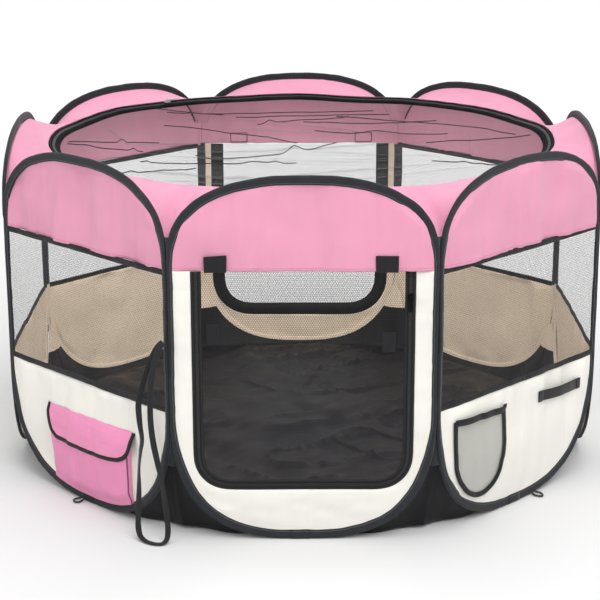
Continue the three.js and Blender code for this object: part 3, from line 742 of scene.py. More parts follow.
for number, p in enumerate(PANELS):
    body = f"{p}_panel"
    t_ax, n_ax = axes_of(p)
    seed = 11 + 23 * number
    door = p in ("front", "back")

    # binding tape round the wire: a full rounded fold over the wire, flat lips inwards
    waver = 0.0005 * vn(LS / 0.03, 0.3, seed) + 0.0004 * vn(LS / 0.011, 1.7, seed + 1)
    C = local(p, LU + NU * waver, LZ + NZ * waver, 0.0006 * vn(LS / 0.045, 2.2, seed + 2))
    side = NU[:, None] * t_ax + NZ[:, None] * np.array([0, 0, 1.0])
    upv = np.repeat(n_ax[None], len(LU), 0)
    widths = band_width(LZ) + 0.0005 * vn(LS / 0.05, 4.4, seed + 3)

    def section(i):
        w = widths[i]
        q = 0.0002 * vn(LS[i] / 0.008, 9.1, seed + 4)
        return [(w, 0.0009), (w - 0.0003, 0.0017 + q), (w * 0.72, 0.0022 + q), (w * 0.5, 0.0026), (0.0046, 0.0031),
                (0.0030, 0.0032), (0.0014, 0.0027), (0.0004, 0.0016), (0.0, 0.0), (0.0004, -0.0016), (0.0014, -0.0027),
                (0.0030, -0.0032), (0.0046, -0.0031), (w * 0.5, -0.0026), (w * 0.72, -0.0022 - q),
                (w - 0.0003, -0.0017 - q), (w, -0.0009)]

    def lining(i, j):
        if j < 10:
            return 0
        return 1 if HEADER - 0.002 < LZ[i] < 0.492 else 2 if LZ[i] < SILL + 0.003 else 0

    o = sweep(f"{p}_binding_tape", C, side, upv, section, BINDING, closed=True,
              v_of=lambda i, sec: widths[i] - sec[:, 0], lengths=LS, mats=(BINDING, PINK_IN, CREAM_IN), mat_of=lining)
    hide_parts(f"{p}_binding")
    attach(o, body)
    # the closing overlap of the tape, at the foot
    k = int(np.argmin(np.abs(LU + 0.004) + (LZ > 0.2)))
    idx = [(k + j) % len(LU) for j in range(-2, 3)]
    o = sweep(f"{p}_tape_overlap", C[idx], side[idx], upv[idx],
              lambda i: [(a * 1.04 - 0.0003, b * 1.22) for a, b in section(idx[i])], BINDING,
              v_of=lambda i, sec: widths[idx[i]] - sec[:, 0], lengths=LS[idx], mats=(BINDING, PINK_IN, CREAM_IN),
              mat_of=lambda i, j: 0 if j < 10 else 2)
    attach(o, body)

    # strip that joins this panel to the next one along their seam
    zz = np.linspace(0.122, 0.492, 60)
    sa = math.radians(PANELS[p] + 22.5)
    sr, st = np.array([math.cos(sa), math.sin(sa), 0]), np.array([-math.sin(sa), math.cos(sa), 0])
    rr = A / math.cos(math.pi / 8) - 0.0030 + 0.0004 * vn(zz / 0.02, 0.1, seed)
    Cs = rr[:, None] * sr + zz[:, None] * np.array([0, 0, 1.0])
    round_foot = np.maximum(0, (0.2155 - zz) / 0.215) ** 2.65
    reach = np.maximum(0.0036, SEAM - 0.2066 * np.maximum(0, 1 - round_foot) ** (1 / 2.65) + 0.0016)
    drop = (reach - 0.0036) * 0.414 + 0.0002
    o = sweep(f"{p}_seam_strip", Cs, np.repeat(st[None], 60, 0), np.repeat(sr[None], 60, 0),
              lambda i: [(-reach[i], 0.0006 - drop[i]), (0, 0.0006), (reach[i], 0.0006 - drop[i]),
                         (reach[i], -0.0006 - drop[i]), (0, -0.0006), (-reach[i], -0.0006 - drop[i])], BINDING,
              mats=(BINDING, PINK_IN, CREAM_IN),
              mat_of=lambda i, j: 0 if j not in (3, 4) else 1 if zz[i] > HEADER - 0.002 else 2 if zz[i] < SILL + 0.003 else 0)
    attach(o, body)

    # upper cloth
    gu = np.linspace(-1, 1, 89)
    gu = np.sign(gu) * (1 - (1 - np.abs(gu)) ** 1.25)
    edge = HALF - INSET
    U = gu * edge
    top = np.interp(np.abs(U), np.linspace(0, edge, 200), np.interp(
        np.linspace(0, edge, 200), (LU + NU * INSET)[(LU >= -1e-6) & (LZ > 0.44)][np.argsort((LU + NU * INSET)[(LU >= -1e-6) & (LZ > 0.44)])],
        (LZ + NZ * INSET)[(LU >= -1e-6) & (LZ > 0.44)][np.argsort((LU + NU * INSET)[(LU >= -1e-6) & (LZ > 0.44)])]))
    V = np.linspace(0, 1, 40)[:, None]
    Z = HEADER + V * np.maximum(top - HEADER, 0.001)[None]
    UU = np.repeat(U[None], 40, 0)
    N = upper_n(p, UU, Z, top[None])
    o = cloth(f"{p}_upper_cloth", local(p, UU, Z, N), sheet_uv(UU, Z, seed), PINK_HEM, PINK_IN, 0.0009, n_ax)
    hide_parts(f"{p}_header_fabric" if door else f"{p}_upper_fabric")
    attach(o, body)

    low = low_edge(U)

    if not door:
        # lower cloth
        V = np.linspace(0, 1, 48)[:, None]
        Z = low[None] + V * (SILL - low)[None]
        UU = np.repeat(U[None], 48, 0)
        N = lower_n(p, UU, Z)
        o = cloth(f"{p}_lower_cloth", local(p, UU, Z, N), sheet_uv(UU, Z, seed), CREAM, CREAM_IN, 0.0009, n_ax)
        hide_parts(f"{p}_lower_fabric")
        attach(o, body)
        # window net
        V = np.linspace(0, 1, 34)[:, None]
        Z = SILL + V * (HEADER - SILL) + 0 * U[None]
        UU = np.repeat(U[None], 34, 0)
        fade = ss(0, 0.03, edge - np.abs(UU))
        N = fade * (wrinkle(UU, Z, seed + 80, 0.8) + bow(UU, Z))
        o = net_sheet(f"{p}_window_mesh", local(p, UU, Z, N), sheet_uv(UU, Z, seed), NET)
        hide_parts(f"{p}_window_net")
        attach(o, body)
        # tape along the top and the bottom of the window
        for which, z0 in (("top", HEADER - 0.0035), ("bottom", SILL + 0.0040)):
            us = np.linspace(-edge, edge, 120)
            fe = ss(0, 0.03, edge - np.abs(us))
            nn = fe * (wrinkle(us, z0 + 0 * us, seed + (80 if which == "top" else 40)) * 0.8 + bow(us, z0 + 0 * us)) * 0.6 + 0.0004 * vn(us / 0.012, 0.5, seed)
            zz = z0 + 0.0006 * vn(us / 0.04, 3.3, seed + 6)
            C2 = local(p, us, zz, nn)
            o = sweep(f"{p}_window_tape_{which}", C2, np.repeat([[0, 0, 1.0]], 120, 0), np.repeat(n_ax[None], 120, 0),
                      rounded(0.0092, 0.0028, 0.0012, 3), WINDOW)
            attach(o, body)
    else:
        DOOR_HALF, DOOR_FOOT, DOOR_CORNER, ZIP_W = DOORS[p]
        # cream surround: ruled between the loop and the door zip
        def hit(curve, ang):
            c0 = np.array([0.0, HEADER])
            d = np.array([math.cos(ang), math.sin(ang)])
            best = None
            for a, b in zip(curve[:-1], curve[1:]):
                e = b - a
                det = d[0] * -e[1] + e[0] * d[1]
                if abs(det) < 1e-12:
                    continue
                w = a - c0
                s = (w[0] * -e[1] + e[0] * w[1]) / det
                q = (d[0] * w[1] - d[1] * w[0]) / det
                if s > 0 and -1e-9 <= q <= 1 + 1e-9:
                    best = s if best is None else min(best, s)
            return c0 + d * best

        outer = np.stack([np.append(LU + NU * INSET, (LU + NU * INSET)[0]), np.append(LZ + NZ * INSET, (LZ + NZ * INSET)[0])], -1)
        inner = u_path(DOOR_HALF + 0.0002, DOOR_FOOT - 0.0002, DOOR_CORNER, top=HEADER + 0.02)
        angs = np.radians(np.concatenate([np.linspace(180.02, 225, 34)[:-1], np.linspace(225, 315, 90)[:-1], np.linspace(315, 359.98, 34)]))
        a_out = np.array([hit(outer, a) for a in angs])
        a_in = np.array([hit(inner, a) for a in angs])
        V = np.linspace(0, 1, 14)[:, None, None]
        UZ = a_out[None] * (1 - V) + a_in[None] * V
        UU, Z = UZ[..., 0], UZ[..., 1]
        across = np.linspace(0, 1, 14)[:, None]
        fade = ss(0, 0.35, across) * (1 - ss(0.8, 1.0, across) * 0.7)
        N = fade * (wrinkle(UU, Z, seed + 60, 0.9) + 0.8 * bow(UU, Z)) + 0.0009 * fade * vn(UU / 0.03, Z / 0.012, seed + 61)
        o = cloth(f"{p}_surround_cloth", local(p, UU, Z, N), sheet_uv(UU, Z, seed), CREAM, CREAM_IN, 0.0009, n_ax)
        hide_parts(f"{p}_surround_fabric")
        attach(o, body)
        a_, b_ = UZ[1:, 1:] - UZ[:-1, :-1], UZ[1:, :-1] - UZ[:-1, 1:]
        # zip tape and its coil
        mid = u_path(DOOR_HALF - ZIP_W / 2, DOOR_FOOT + ZIP_W / 2, DOOR_CORNER - ZIP_W / 2)
        d = np.gradient(mid, axis=0)
        d /= np.linalg.norm(d, axis=1, keepdims=True)
        nn = 0.0006 * vn(np.arange(len(mid)) / 14.0, 0.2, seed + 30)
        C3 = local(p, mid[:, 0], mid[:, 1], nn)
        side3 = (-d[:, 1:2]) * t_ax + d[:, 0:1] * np.array([0, 0, 1.0])
        up3 = np.repeat(n_ax[None], len(mid), 0)
        half = ZIP_W / 2
        sec3 = [(-half, -0.0005), (half, -0.0005), (half, 0.0006), (0.0050, 0.0009), (0.0034, 0.0012), (0.0031, 0.0009),
                (-0.0031, 0.0009), (-0.0034, 0.0012), (-0.0050, 0.0009), (-half, 0.0006)]
        o = sweep(f"{p}_zip_tape", C3, side3, up3, sec3, ZIP_TAPE, v_of=lambda i, sec: half - np.abs(sec[:, 0]))
        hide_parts(f"{p}_door_zip")
        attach(o, body)
        o = teeth(f"{p}_zip_coil", C3, side3, up3, COIL, lift=0.0006)
        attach(o, body)
        # net door
        ih = DOOR_HALF - ZIP_W - 0.0006
        dp = u_path(ih, DOOR_FOOT + ZIP_W + 0.0006, DOOR_CORNER - ZIP_W)
        ux = np.linspace(-1, 1, 71)
        ux = np.sign(ux) * (1 - (1 - np.abs(ux)) ** 1.4) * ih
        rp = dp[(dp[:, 0] >= -1e-6) & (dp[:, 1] < 0.2)]
        rp = rp[np.argsort(rp[:, 0])]
        zl = np.interp(np.abs(ux), rp[:, 0], rp[:, 1])
        V = np.linspace(0, 1, 61)[:, None]
        Z = zl[None] + V * (HEADER - 0.0004 - zl)[None]
        UU = np.repeat(ux[None], 61, 0)
        fade = ss(0, 0.03, ih - np.abs(UU)) * ss(0, 0.03, Z - zl[None]) * ss(0, 0.02, HEADER - Z)
        N = fade * (wrinkle(UU, Z, seed + 90, 1.1) + 0.8 * bow(UU, Z))
        o = net_sheet(f"{p}_door_mesh", local(p, UU, Z, N), sheet_uv(UU, Z, seed), NET_DOOR)
        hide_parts(f"{p}_door_net")
        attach(o, f"{p}_door")
        # hook patches on the door and tie tabs on the header
        for side_name, (a, b, c, e) in (("left", (-0.148, -0.129, 0.324, 0.356)), ("right", (0.121, 0.141, 0.311, 0.343))):
            o = patch(f"{p}_door_patch_{side_name}", local(p, [a, b, b, a], [c, c, e, e], 0.0030), 0.0016, HOOK, n_ax)
            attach(o, f"{p}_door")
        for side_name, (a, b) in (("left", (-0.150, -0.116)), ("right", (0.110, 0.144))):
            tilt = 0.0022 if side_name == "left" else -0.0006
            tu, tz = np.meshgrid(np.linspace(a, b, 9), np.linspace(HEADER, HEADER + 0.025, 9))
            proud = max(0.0046, float(upper_n(p, tu, tz, np.full(tu.shape, 0.58)).max()) + 0.0014)
            o = patch(f"{p}_tie_tab_{side_name}_tape",
                      local(p, [a, b, b + 0.0004, a - 0.0006], [HEADER - 0.0015, HEADER - 0.0015, HEADER + 0.0245 + tilt / 2, HEADER + 0.0245 - tilt / 2],
                            [proud + 0.0006, proud + 0.0006, proud, proud]), 0.0019, HOOK, n_ax, n=14)
            if p == "front":
                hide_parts(f"front_tie_tab_{side_name}")
            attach(o, body)
            # the tab's box of stitching shows through on the inner face of the header
            bu = np.array([a, b, b, a, a])
            bz = np.array([0.003, 0.003, 0.0215, 0.0215, 0.003]) + HEADER
            for q in range(4):
                tt = np.linspace(0, 1, 12)
                eu, ez = bu[q] + (bu[q + 1] - bu[q]) * tt, bz[q] + (bz[q + 1] - bz[q]) * tt
                en = upper_n(p, eu, ez, np.full(12, 0.58)) - 0.0011
                flat_ = np.repeat((t_ax if q % 2 else np.array([0, 0, 1.0]))[None], 12, 0)
                st_ = sweep(f"{p}_tie_stitch_{side_name}_{q}", local(p, eu, ez, en), flat_, np.repeat(n_ax[None], 12, 0),
                            [(-0.0009, -0.0005), (0.0009, -0.0005), (0.0009, 0.0004), (-0.0009, 0.0004)], STITCH_AND_PAINTED_SHADE)
                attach(st_, body)


# ------------------------------------------------------------------ roof skirt, zip ring and floor, in eight sectors
def ring_wave(ang):
    return 0.0016 * np.sin(3 * ang + 0.7) + 0.0012 * np.sin(8 * ang + 1.0) + 0.0008 * np.sin(13 * ang)


def sector_us(k=49):
    s = np.linspace(-1, 1, k)
    return np.sign(s) * (1 - (1 - np.abs(s)) ** 1.35)


def world_edge(p, u, n):
    t, o = axes_of(p)
    return (A + n)[..., None] * o[:2] + u[..., None] * t[:2]


SKIRT_ROWS, FLOOR_ROWS = 26, 54
_hi = (LU >= -1e-6) & (LZ > 0.44)
_su, _sz = (LU + NU * 0.0132)[_hi], (LZ + NZ * 0.0132)[_hi]
_so = np.argsort(_su)
skirts, floors = [], []
for number, p in enumerate(PANELS):
    inner_n = -0.0045
    seam_u = SEAM + inner_n * math.tan(math.pi / 8)
    us = sector_us() * seam_u
    uc = np.clip(us, -HALF + 0.0018, HALF - 0.0018)
    xy = world_edge(p, us, np.full_like(us, inner_n))
    ang = np.arctan2(xy[:, 1], xy[:, 0])
    ro = np.hypot(xy[:, 0], xy[:, 1])
    edge_z = np.interp(np.abs(us), _su[_so], _sz[_so])
    edge_z = np.maximum(np.where(np.abs(us) > _su.max() - 0.001, 0.484, edge_z), 0.484)
    corner = ss(0.125, 0.200, np.abs(us))
    P = np.zeros((SKIRT_ROWS, len(us), 3))
    UV = np.zeros((SKIRT_ROWS, len(us), 2))
    for i, v in enumerate(np.linspace(0, 1, SKIRT_ROWS)):
        r = ro * (1 - v) + RING_R * v
        z = edge_z * (1 - v) + (RING_Z + ring_wave(ang)) * v
        w = math.sin(math.pi * v)
        sag = -0.0045 * w * (1 - corner) + 0.0045 * w * corner
        c_, s_ = np.cos(ang), np.sin(ang)
        nz = 0.0034 * vn(c_ * 4.3 + 40, s_ * 4.3 + v * 1.3, 3) + 0.0018 * vn(c_ * 12 + 40, s_ * 12 + v, 4) \
            + 0.0010 * vn(c_ * 30 + 40, s_ * 30 + v * 1.5, 6) + 0.0020 * corner * vn(c_ * 22 + v * 3, s_ * 22 - v * 2, 8)
        P[i] = np.stack([r * c_, r * s_, z + sag + (w ** 0.7) * nz], -1)
        UV[i] = np.stack([us + number * 0.5, np.full_like(us, v * 0.075)], -1)
    skirts.append((P, UV))

    fz = np.maximum(foot_z(uc) + 0.008, 0.004)
    fz = np.where(np.abs(us) > 0.198, np.minimum(fz, 0.136), np.minimum(fz, 0.150))
    near = ss(0.105, 0.185, np.abs(us))
    toe_r = ro - 0.012 * (1 - near) - near * 0.036
    P = np.zeros((FLOOR_ROWS, len(us), 3))
    UV = np.zeros((FLOOR_ROWS, len(us), 2))
    for i, v in enumerate(np.concatenate([np.linspace(0.0006, 0.965, FLOOR_ROWS - 12), np.linspace(0.975, 2.0, 12)])):
        g = max(v - 1, 0)
        r = toe_r * min(v, 1.0) + (ro - toe_r) * g
        x, y = r * np.cos(ang), r * np.sin(ang)
        w = 1 - ss(0.93, 1.0, v)
        fold = fbm(x / 0.15 + 9, y / 0.10 + 4, 31) + 0.6 * vn((x + 0.6 * y) / 0.050, (y - 0.5 * x) / 0.17, 36) \
            + 0.4 * vn((x - 0.9 * y) / 0.030, (y + 0.8 * x) / 0.12, 38)
        ridge = np.maximum(0, 1 - np.abs(vn((x * 0.5 - y) / 0.085 + 3, (x + y * 0.5) / 0.26, 51)) * 5.0) ** 1.6 \
            + 0.8 * np.maximum(0, 1 - np.abs(vn((x * 0.9 + y) / 0.100 + 7, (x - y * 0.9) / 0.24, 57)) * 6.0) ** 1.6
        z = 0.0015 + w * np.maximum(0, 0.0060 + 0.0056 * fold + 0.0072 * ridge) + (fz - 0.0015) * g ** 1.15
        P[i] = np.stack([x, y, np.maximum(z, 0.0012)], -1)
        UV[i] = np.stack([x, y], -1)
    floors.append((P, UV))

skirt_normals = shared_normals([g[0] for g in skirts], (0, 0, 1))
floor_normals = shared_normals([g[0] for g in floors], (0, 0, 1))
for number, p in enumerate(PANELS):
    body = f"{p}_panel"
    t_ax, n_ax = axes_of(p)
    seam_u = SEAM - 0.0045 * math.tan(math.pi / 8)
    P, UV = skirts[number]
    o = cloth(f"{p}_skirt_cloth", P, UV, PINK, PINK_IN, 0.0009, (0, 0, 1), normals=skirt_normals[number])
    if p == "front":
        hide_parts("roof_skirt")
    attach(o, body)
    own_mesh(o)
    # zip ring: a tape with a raised coil between the skirt and the lid
    k = 61
    a0 = math.radians(PANELS[p] - 22.5)
    a = np.linspace(a0, a0 + math.pi / 4, k)
    er = np.stack([np.cos(a), np.sin(a), 0 * a], -1)
    tilt = math.atan2(RING_Z - RING_IN_Z, RING_R - RING_IN)
    side = er * math.cos(tilt) + np.array([0, 0, math.sin(tilt)])
    upv = -er * math.sin(tilt) + np.array([0, 0, math.cos(tilt)])
    rm, zm = (RING_R + RING_IN) / 2, (RING_Z + RING_IN_Z) / 2 - 0.001
    C4 = er * rm + np.stack([0 * a, 0 * a, zm + ring_wave(a) + 0.0008 * vn(np.cos(a) * 18, np.sin(a) * 18, 9)], -1)
    half = 0.0088
    sec4 = [(-half, -0.0006), (half, -0.0006), (half, 0.0007), (0.0060, 0.0016), (0.0036, 0.0018), (0.0032, 0.0007),
            (-0.0032, 0.0007), (-0.0036, 0.0018), (-0.0060, 0.0016), (-half, 0.0007)]
    o = sweep(f"{p}_roof_zip_tape", C4, side, upv, sec4, RING_TAPE, v_of=lambda i, sec: half - np.abs(sec[:, 0]), cap=False)
    if p == "front":
        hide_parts("roof_zip_ring")
    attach(o, body)
    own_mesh(o)
    o = teeth(f"{p}_roof_zip_coil", C4, side, upv, COIL, lift=0.0004)
    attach(o, body)
    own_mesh(o)

    # floor sector with the gusset halves at its corners; the lining hangs down over the gussets inside
    P, UV = floors[number]
    o = cloth(f"{p}_floor_cloth", P, UV, FLOOR_IN, FLOOR, 0.0010, (0, 0, 1), normals=floor_normals[number], lift=P[..., 2])
    if p == "front":
        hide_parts("floor_sheet")
    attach(o, body)
    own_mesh(o)

# ------------------------------------------------------------------ roof net lid
rings, spokes = 60, 280
RR = (np.linspace(0, 1, rings) ** 0.8)[:, None] * (RING_IN + 0.001)
TH = np.linspace(0, 2 * math.pi, spokes)[None]
X, Y = RR * np.cos(TH), RR * np.sin(TH)
share = RR / RING_IN
edge_w = 1 - ss(0.90, 1.0, share)


def creases(X, Y):
    """Long tension folds of the loose net, in a few directions."""
    z = np.zeros_like(X)
    rng = np.random.RandomState(7)
    for q in range(15):
        a = rng.uniform(-0.42, 0.42) + (math.pi / 2 if q % 6 == 5 else 0)
        off = rng.uniform(-0.34, 0.34)
        s = -X * math.sin(a) + Y * math.cos(a) + 0.02 * np.sin(X * 7 + q) - off
        l = X * math.cos(a) + Y * math.sin(a)
        mid, reach = rng.uniform(-0.22, 0.22), rng.uniform(0.10, 0.26)
        z += rng.uniform(0.0035, 0.0075) * np.exp(-(s / rng.uniform(0.0045, 0.009)) ** 2) * np.exp(-((l - mid) / reach) ** 2)
    return z




def lid_z(X, Y):
    r, a = np.hypot(X, Y), np.arctan2(Y, X)
    q = r / RING_IN
    return RING_IN_Z + ring_wave(a) * q ** 3 - 0.0015 - 0.020 * (1 - q ** 2) \
        + (1 - ss(0.90, 1.0, q)) * (0.0035 * fbm(X / 0.11 + 5, Y / 0.08 + 2, 71) + creases(X, Y))


Z = lid_z(X, Y)
lid = net_sheet("roof_lid_mesh", np.stack([X, Y, Z], -1), np.stack([X, Y], -1), NET_ROOF)
bm = bmesh.new()
bm.from_mesh(lid.data)
bmesh.ops.remove_doubles(bm, verts=bm.verts, dist=1e-5)
bm.to_mesh(lid.data)
bm.free()
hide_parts("roof_net")
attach(lid, "lid")
arm = math.radians(-112.5)
across = (-math.sin(arm), math.cos(arm), 0)
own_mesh(lid)
# folds where the slack net lies double: narrow dark lines across the lid
rng = np.random.RandomState(12)
V, F, UV = [], [], []
for q in range(15):
    if q % 3 == 2:
        a0 = rng.choice([rng.uniform(2.5, 3.9), rng.uniform(-0.9, 0.7)])
        x0, y0 = math.cos(a0) * 0.420, math.sin(a0) * 0.420
        head = a0 + math.pi + rng.uniform(-0.5, 0.5)
        reach = rng.uniform(0.06, 0.20)
    else:
        x0, y0 = rng.uniform(-0.33, 0.10), rng.uniform(-0.33, 0.36)
        head = rng.uniform(-0.30, 0.30)
        reach = rng.uniform(0.12, 0.42)
    k = int(reach / 0.006) + 4
    d = np.linspace(0, reach, k)
    bend = rng.uniform(-2.4, 2.4)
    h = head + bend * d + 0.10 * vn(d / 0.12, q * 3.1, 81)
    step = reach / (k - 1)
    x = x0 + np.cumsum(np.cos(h)) * step
    y = y0 + np.cumsum(np.sin(h)) * step
    keep = np.hypot(x, y) < 0.424
    x, y, h = x[keep], y[keep], h[keep]
    if len(x) < 5:
        continue
    width = 0.00034 * np.sin(math.pi * np.linspace(0.04, 0.96, len(x))) ** 0.4 * (1 + 0.4 * vn(np.arange(len(x)) / 3.0, q, 82))
    z = lid_z(x, y) + 0.0011
    base = len(V)
    for i in range(len(x)):
        nx, ny = -math.sin(h[i]) * width[i], math.cos(h[i]) * width[i]
        V += [(x[i] + nx, y[i] + ny, z[i]), (x[i], y[i], z[i] + 0.0012), (x[i] - nx, y[i] - ny, z[i]), (x[i], y[i], z[i] - 0.0006)]
        UV += [(i * 0.006, 0.0), (i * 0.006, 0.001), (i * 0.006, 0.002), (i * 0.006, 0.003)]
    for i in range(len(x) - 1):
        for j in range(4):
            a_, b_ = base + 4 * i + j, base + 4 * i + (j + 1) % 4
            F.append((a_, b_, b_ + 4, a_ + 4))
    F += [(base + 3, base + 2, base + 1, base), tuple(base + 4 * (len(x) - 1) + j for j in range(4))]
o = build("roof_lid_folds", V, F, UV, (NET_FOLD,))
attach(o, "lid")
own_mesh(o)

th = np.linspace(0, 2 * math.pi, 241)[:-1]
er = np.stack([np.cos(th), np.sin(th), 0 * th], -1)
C5 = er * (RING_IN - 0.0012) + np.stack([0 * th, 0 * th, RING_IN_Z - 0.0012 + ring_wave(th)], -1)
o = sweep("roof_lid_edge_tape", C5, er, np.repeat([[0, 0, 1.0]], 240, 0), rounded(0.0048, 0.0014, 0.0006, 2), RING_TAPE, closed=True,
          lengths=th * RING_IN)
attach(o, "lid")
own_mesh(o)

# ------------------------------------------------------------------ zip sliders
def slider(name, origin, ax_side, ax_long, ax_up, material, pull=0.026, flip=1.0):
    """Slider body with its bridge and a pull tab with a hole; long is the way that the pull hangs."""
    bm = bmesh.new()

    def block(sx, sy, sz, cx, cy, cz, bev, taper=None):
        r = bmesh.ops.create_cube(bm, size=1)
        vs = r["verts"]
        for v in vs:
            k = 1.0
            if taper and v.co.y > 0:
                k = taper
            v.co = Vector((v.co.x * sx * k + cx, v.co.y * sy + cy, v.co.z * sz + cz))
        es = {e for v in vs for e in v.link_edges}
        bmesh.ops.bevel(bm, geom=list(es), offset=bev, segments=3, affect="EDGES", profile=0.6)

    block(0.0098, 0.0128, 0.0013, 0, 0, 0.0033, 0.0005, 0.72)
    block(0.0092, 0.0120, 0.0011, 0, 0, 0.0049, 0.0004, 0.72)
    block(0.0026, 0.0100, 0.0024, 0, 0, 0.0064, 0.0009)
    me = bpy.data.meshes.new(name)
    # pull tab: a waisted plate with an eye
    n = 40
    outline, eye = [], []
    for i in range(n):
        a = 2 * math.pi * i / n
        x = math.cos(a) * (0.0034 + 0.0007 * math.sin(a) ** 2)
        y = math.sin(a)
        y = (1 if y > 0 else -1) * abs(y) ** 0.55 * pull / 2
        outline.append((x, y))
        eye.append((0.0015 * math.cos(a), -pull / 2 + 0.0052 + 0.0028 * math.sin(a)))
    tilt = 0.10
    verts = []
    for z in (0.0070, 0.0084):
        for ring in (outline, eye):
            for x, y in ring:
                yy = y + pull / 2 - 0.004
                verts.append(bm.verts.new((x, yy, z + tilt * yy * 0.3)))
    for i in range(n):
        j = (i + 1) % n
        o0, e0, o1, e1 = 0, n, 2 * n, 3 * n
        bm.faces.new((verts[o0 + i], verts[e0 + i], verts[e0 + j], verts[o0 + j]))
        bm.faces.new((verts[o1 + i], verts[o1 + j], verts[e1 + j], verts[e1 + i]))
        bm.faces.new((verts[o0 + i], verts[o0 + j], verts[o1 + j], verts[o1 + i]))
        bm.faces.new((verts[e0 + i], verts[e1 + i], verts[e1 + j], verts[e0 + j]))
    bmesh.ops.recalc_face_normals(bm, faces=bm.faces)
    bm.to_mesh(me)
    bm.free()
    M = Matrix((
        (ax_side[0], ax_long[0], ax_up[0], origin[0]),
        (ax_side[1], ax_long[1], ax_up[1], origin[1]),
        (ax_side[2], ax_long[2], ax_up[2], origin[2]),
        (0, 0, 0, 1)))
    me.transform(M)
    me.materials.append(material)
    me.uv_layers.new(name="UVMap")
    me.polygons.foreach_set("use_smooth", np.ones(len(me.polygons), bool))
    o = bpy.data.objects.new(name, me)
    scene.collection.objects.link(o)
    mod = o.modifiers.new("crisp", "EDGE_SPLIT")
    mod.split_angle = math.radians(38)
    return o


for p in ("front", "back"):
    t_ax, n_ax = axes_of(p)
    origin = local(p, DOORS[p][0] - DOORS[p][3] / 2, 0.398, -0.0006)
    o = slider(f"{p}_slider_body", origin, -t_ax, np.array([0, 0, -1.0]), n_ax, DARK_METAL)
    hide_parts(f"{p}_zip_slider")
    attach(o, f"{p}_slider")
a = math.radians(127)
er, et = np.array([math.cos(a), math.sin(a), 0]), np.array([-math.sin(a), math.cos(a), 0])
o = slider("roof_slider_body", er * 0.4385 + np.array([0, 0, 0.5495]), er, -et, np.array([0, 0, 1.0]), CHROME)
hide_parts("roof_zip_slider")
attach(o, "roof_slider")
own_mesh(o)

# ------------------------------------------------------------------ front-left flap pocket
p = "front_left"
t_ax, n_ax = axes_of(p)
body = f"{p}_panel"


def bag_foot(u):
    return foot_z(np.clip(u, -0.19, 0.19)) + 0.0130


# the bag: back edge on the panel, rounded sides, front face that bulges
cols, rws = 81, 44
P = np.zeros((rws, cols, 3))
UV = np.zeros((rws, cols, 2))
for i, v in enumerate(np.linspace(0, 1, rws)):
    depth = 0.0100 * (0.30 + 0.70 * ss(0.0, 0.22, v))
    wl, wr = -0.0945 + 0.0040 * (1 - v) + 0.0010 * math.sin(3 * v), 0.1125 + 0.0012 * (1 - v)
    depth_l = depth * 0.55
    path_u = np.concatenate([np.full(10, wl), np.linspace(wl, wr, cols - 20), np.full(10, wr)])
    path_n = np.concatenate([np.linspace(0.0006, depth_l, 11)[:-1], np.linspace(depth_l, depth, cols - 20), np.linspace(depth, 0.0006, 11)[1:]])
    for _ in range(2):
        path_u[1:-1] = (path_u[:-2] + 2 * path_u[1:-1] + path_u[2:]) / 4
        path_n[1:-1] = (path_n[:-2] + 2 * path_n[1:-1] + path_n[2:]) / 4
    inside = np.clip((path_u - wl) / (wr - wl), 0, 1)
    puff = 0.0022 * np.sin(math.pi * inside) ** 0.8 * math.sin(math.pi * min(1, 0.15 + v * 0.8))
    crease = 0.0011 * vn(path_u / 0.03, v * 3.0, 301) + 0.0007 * vn(path_u / 0.012, v * 5.0, 302) \
        + 0.0010 * np.exp(-((path_u - 0.01 - 0.05 * v) / 0.012) ** 2) * ss(0.4, 1.0, v)
    nn = path_n + (puff + crease) * np.minimum(1, path_n / max(depth_l, 1e-6))
    zf = bag_foot(path_u)
    zz = zf + (0.1300 - zf) * v
    nn = np.maximum(nn, 0.0046 * (1 - ss(0.004, 0.012, zz - zf)) * ss(0.0, 0.003, path_n))
    P[i] = local(p, path_u, zz, nn + lower_n(p, path_u, zz))
    dist = np.concatenate([[0], np.cumsum(np.hypot(np.diff(path_u), np.diff(path_n)))])
    UV[i] = np.stack([dist + 3.0, zz], -1)
bag = cloth("pocket_bag_cloth", P, UV, PINK_POCKET, PINK_IN, 0.0009, n_ax)
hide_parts("pocket_bag")
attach(bag, body)
# a dark maroon strip down the right-hand corner seam of the bag, painted shade for the bag's side face in shadow, and a
# hem on its mouth
col = cols - 10
o = sweep("pocket_corner_painted_shade", P[:, col] + n_ax * 0.0004, np.repeat(t_ax[None], rws, 0), np.repeat(n_ax[None], rws, 0),
          rounded(0.0030, 0.0022, 0.001, 3), STITCH_AND_PAINTED_SHADE)
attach(o, body)
o = sweep("pocket_mouth_hem", P[-1] + np.array([0, 0, -0.003]), np.repeat([[0, 0, 1.0]], cols, 0), np.repeat(n_ax[None], cols, 0),
          rounded(0.007, 0.0020, 0.0009, 3), PINK_POCKET)
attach(o, body)

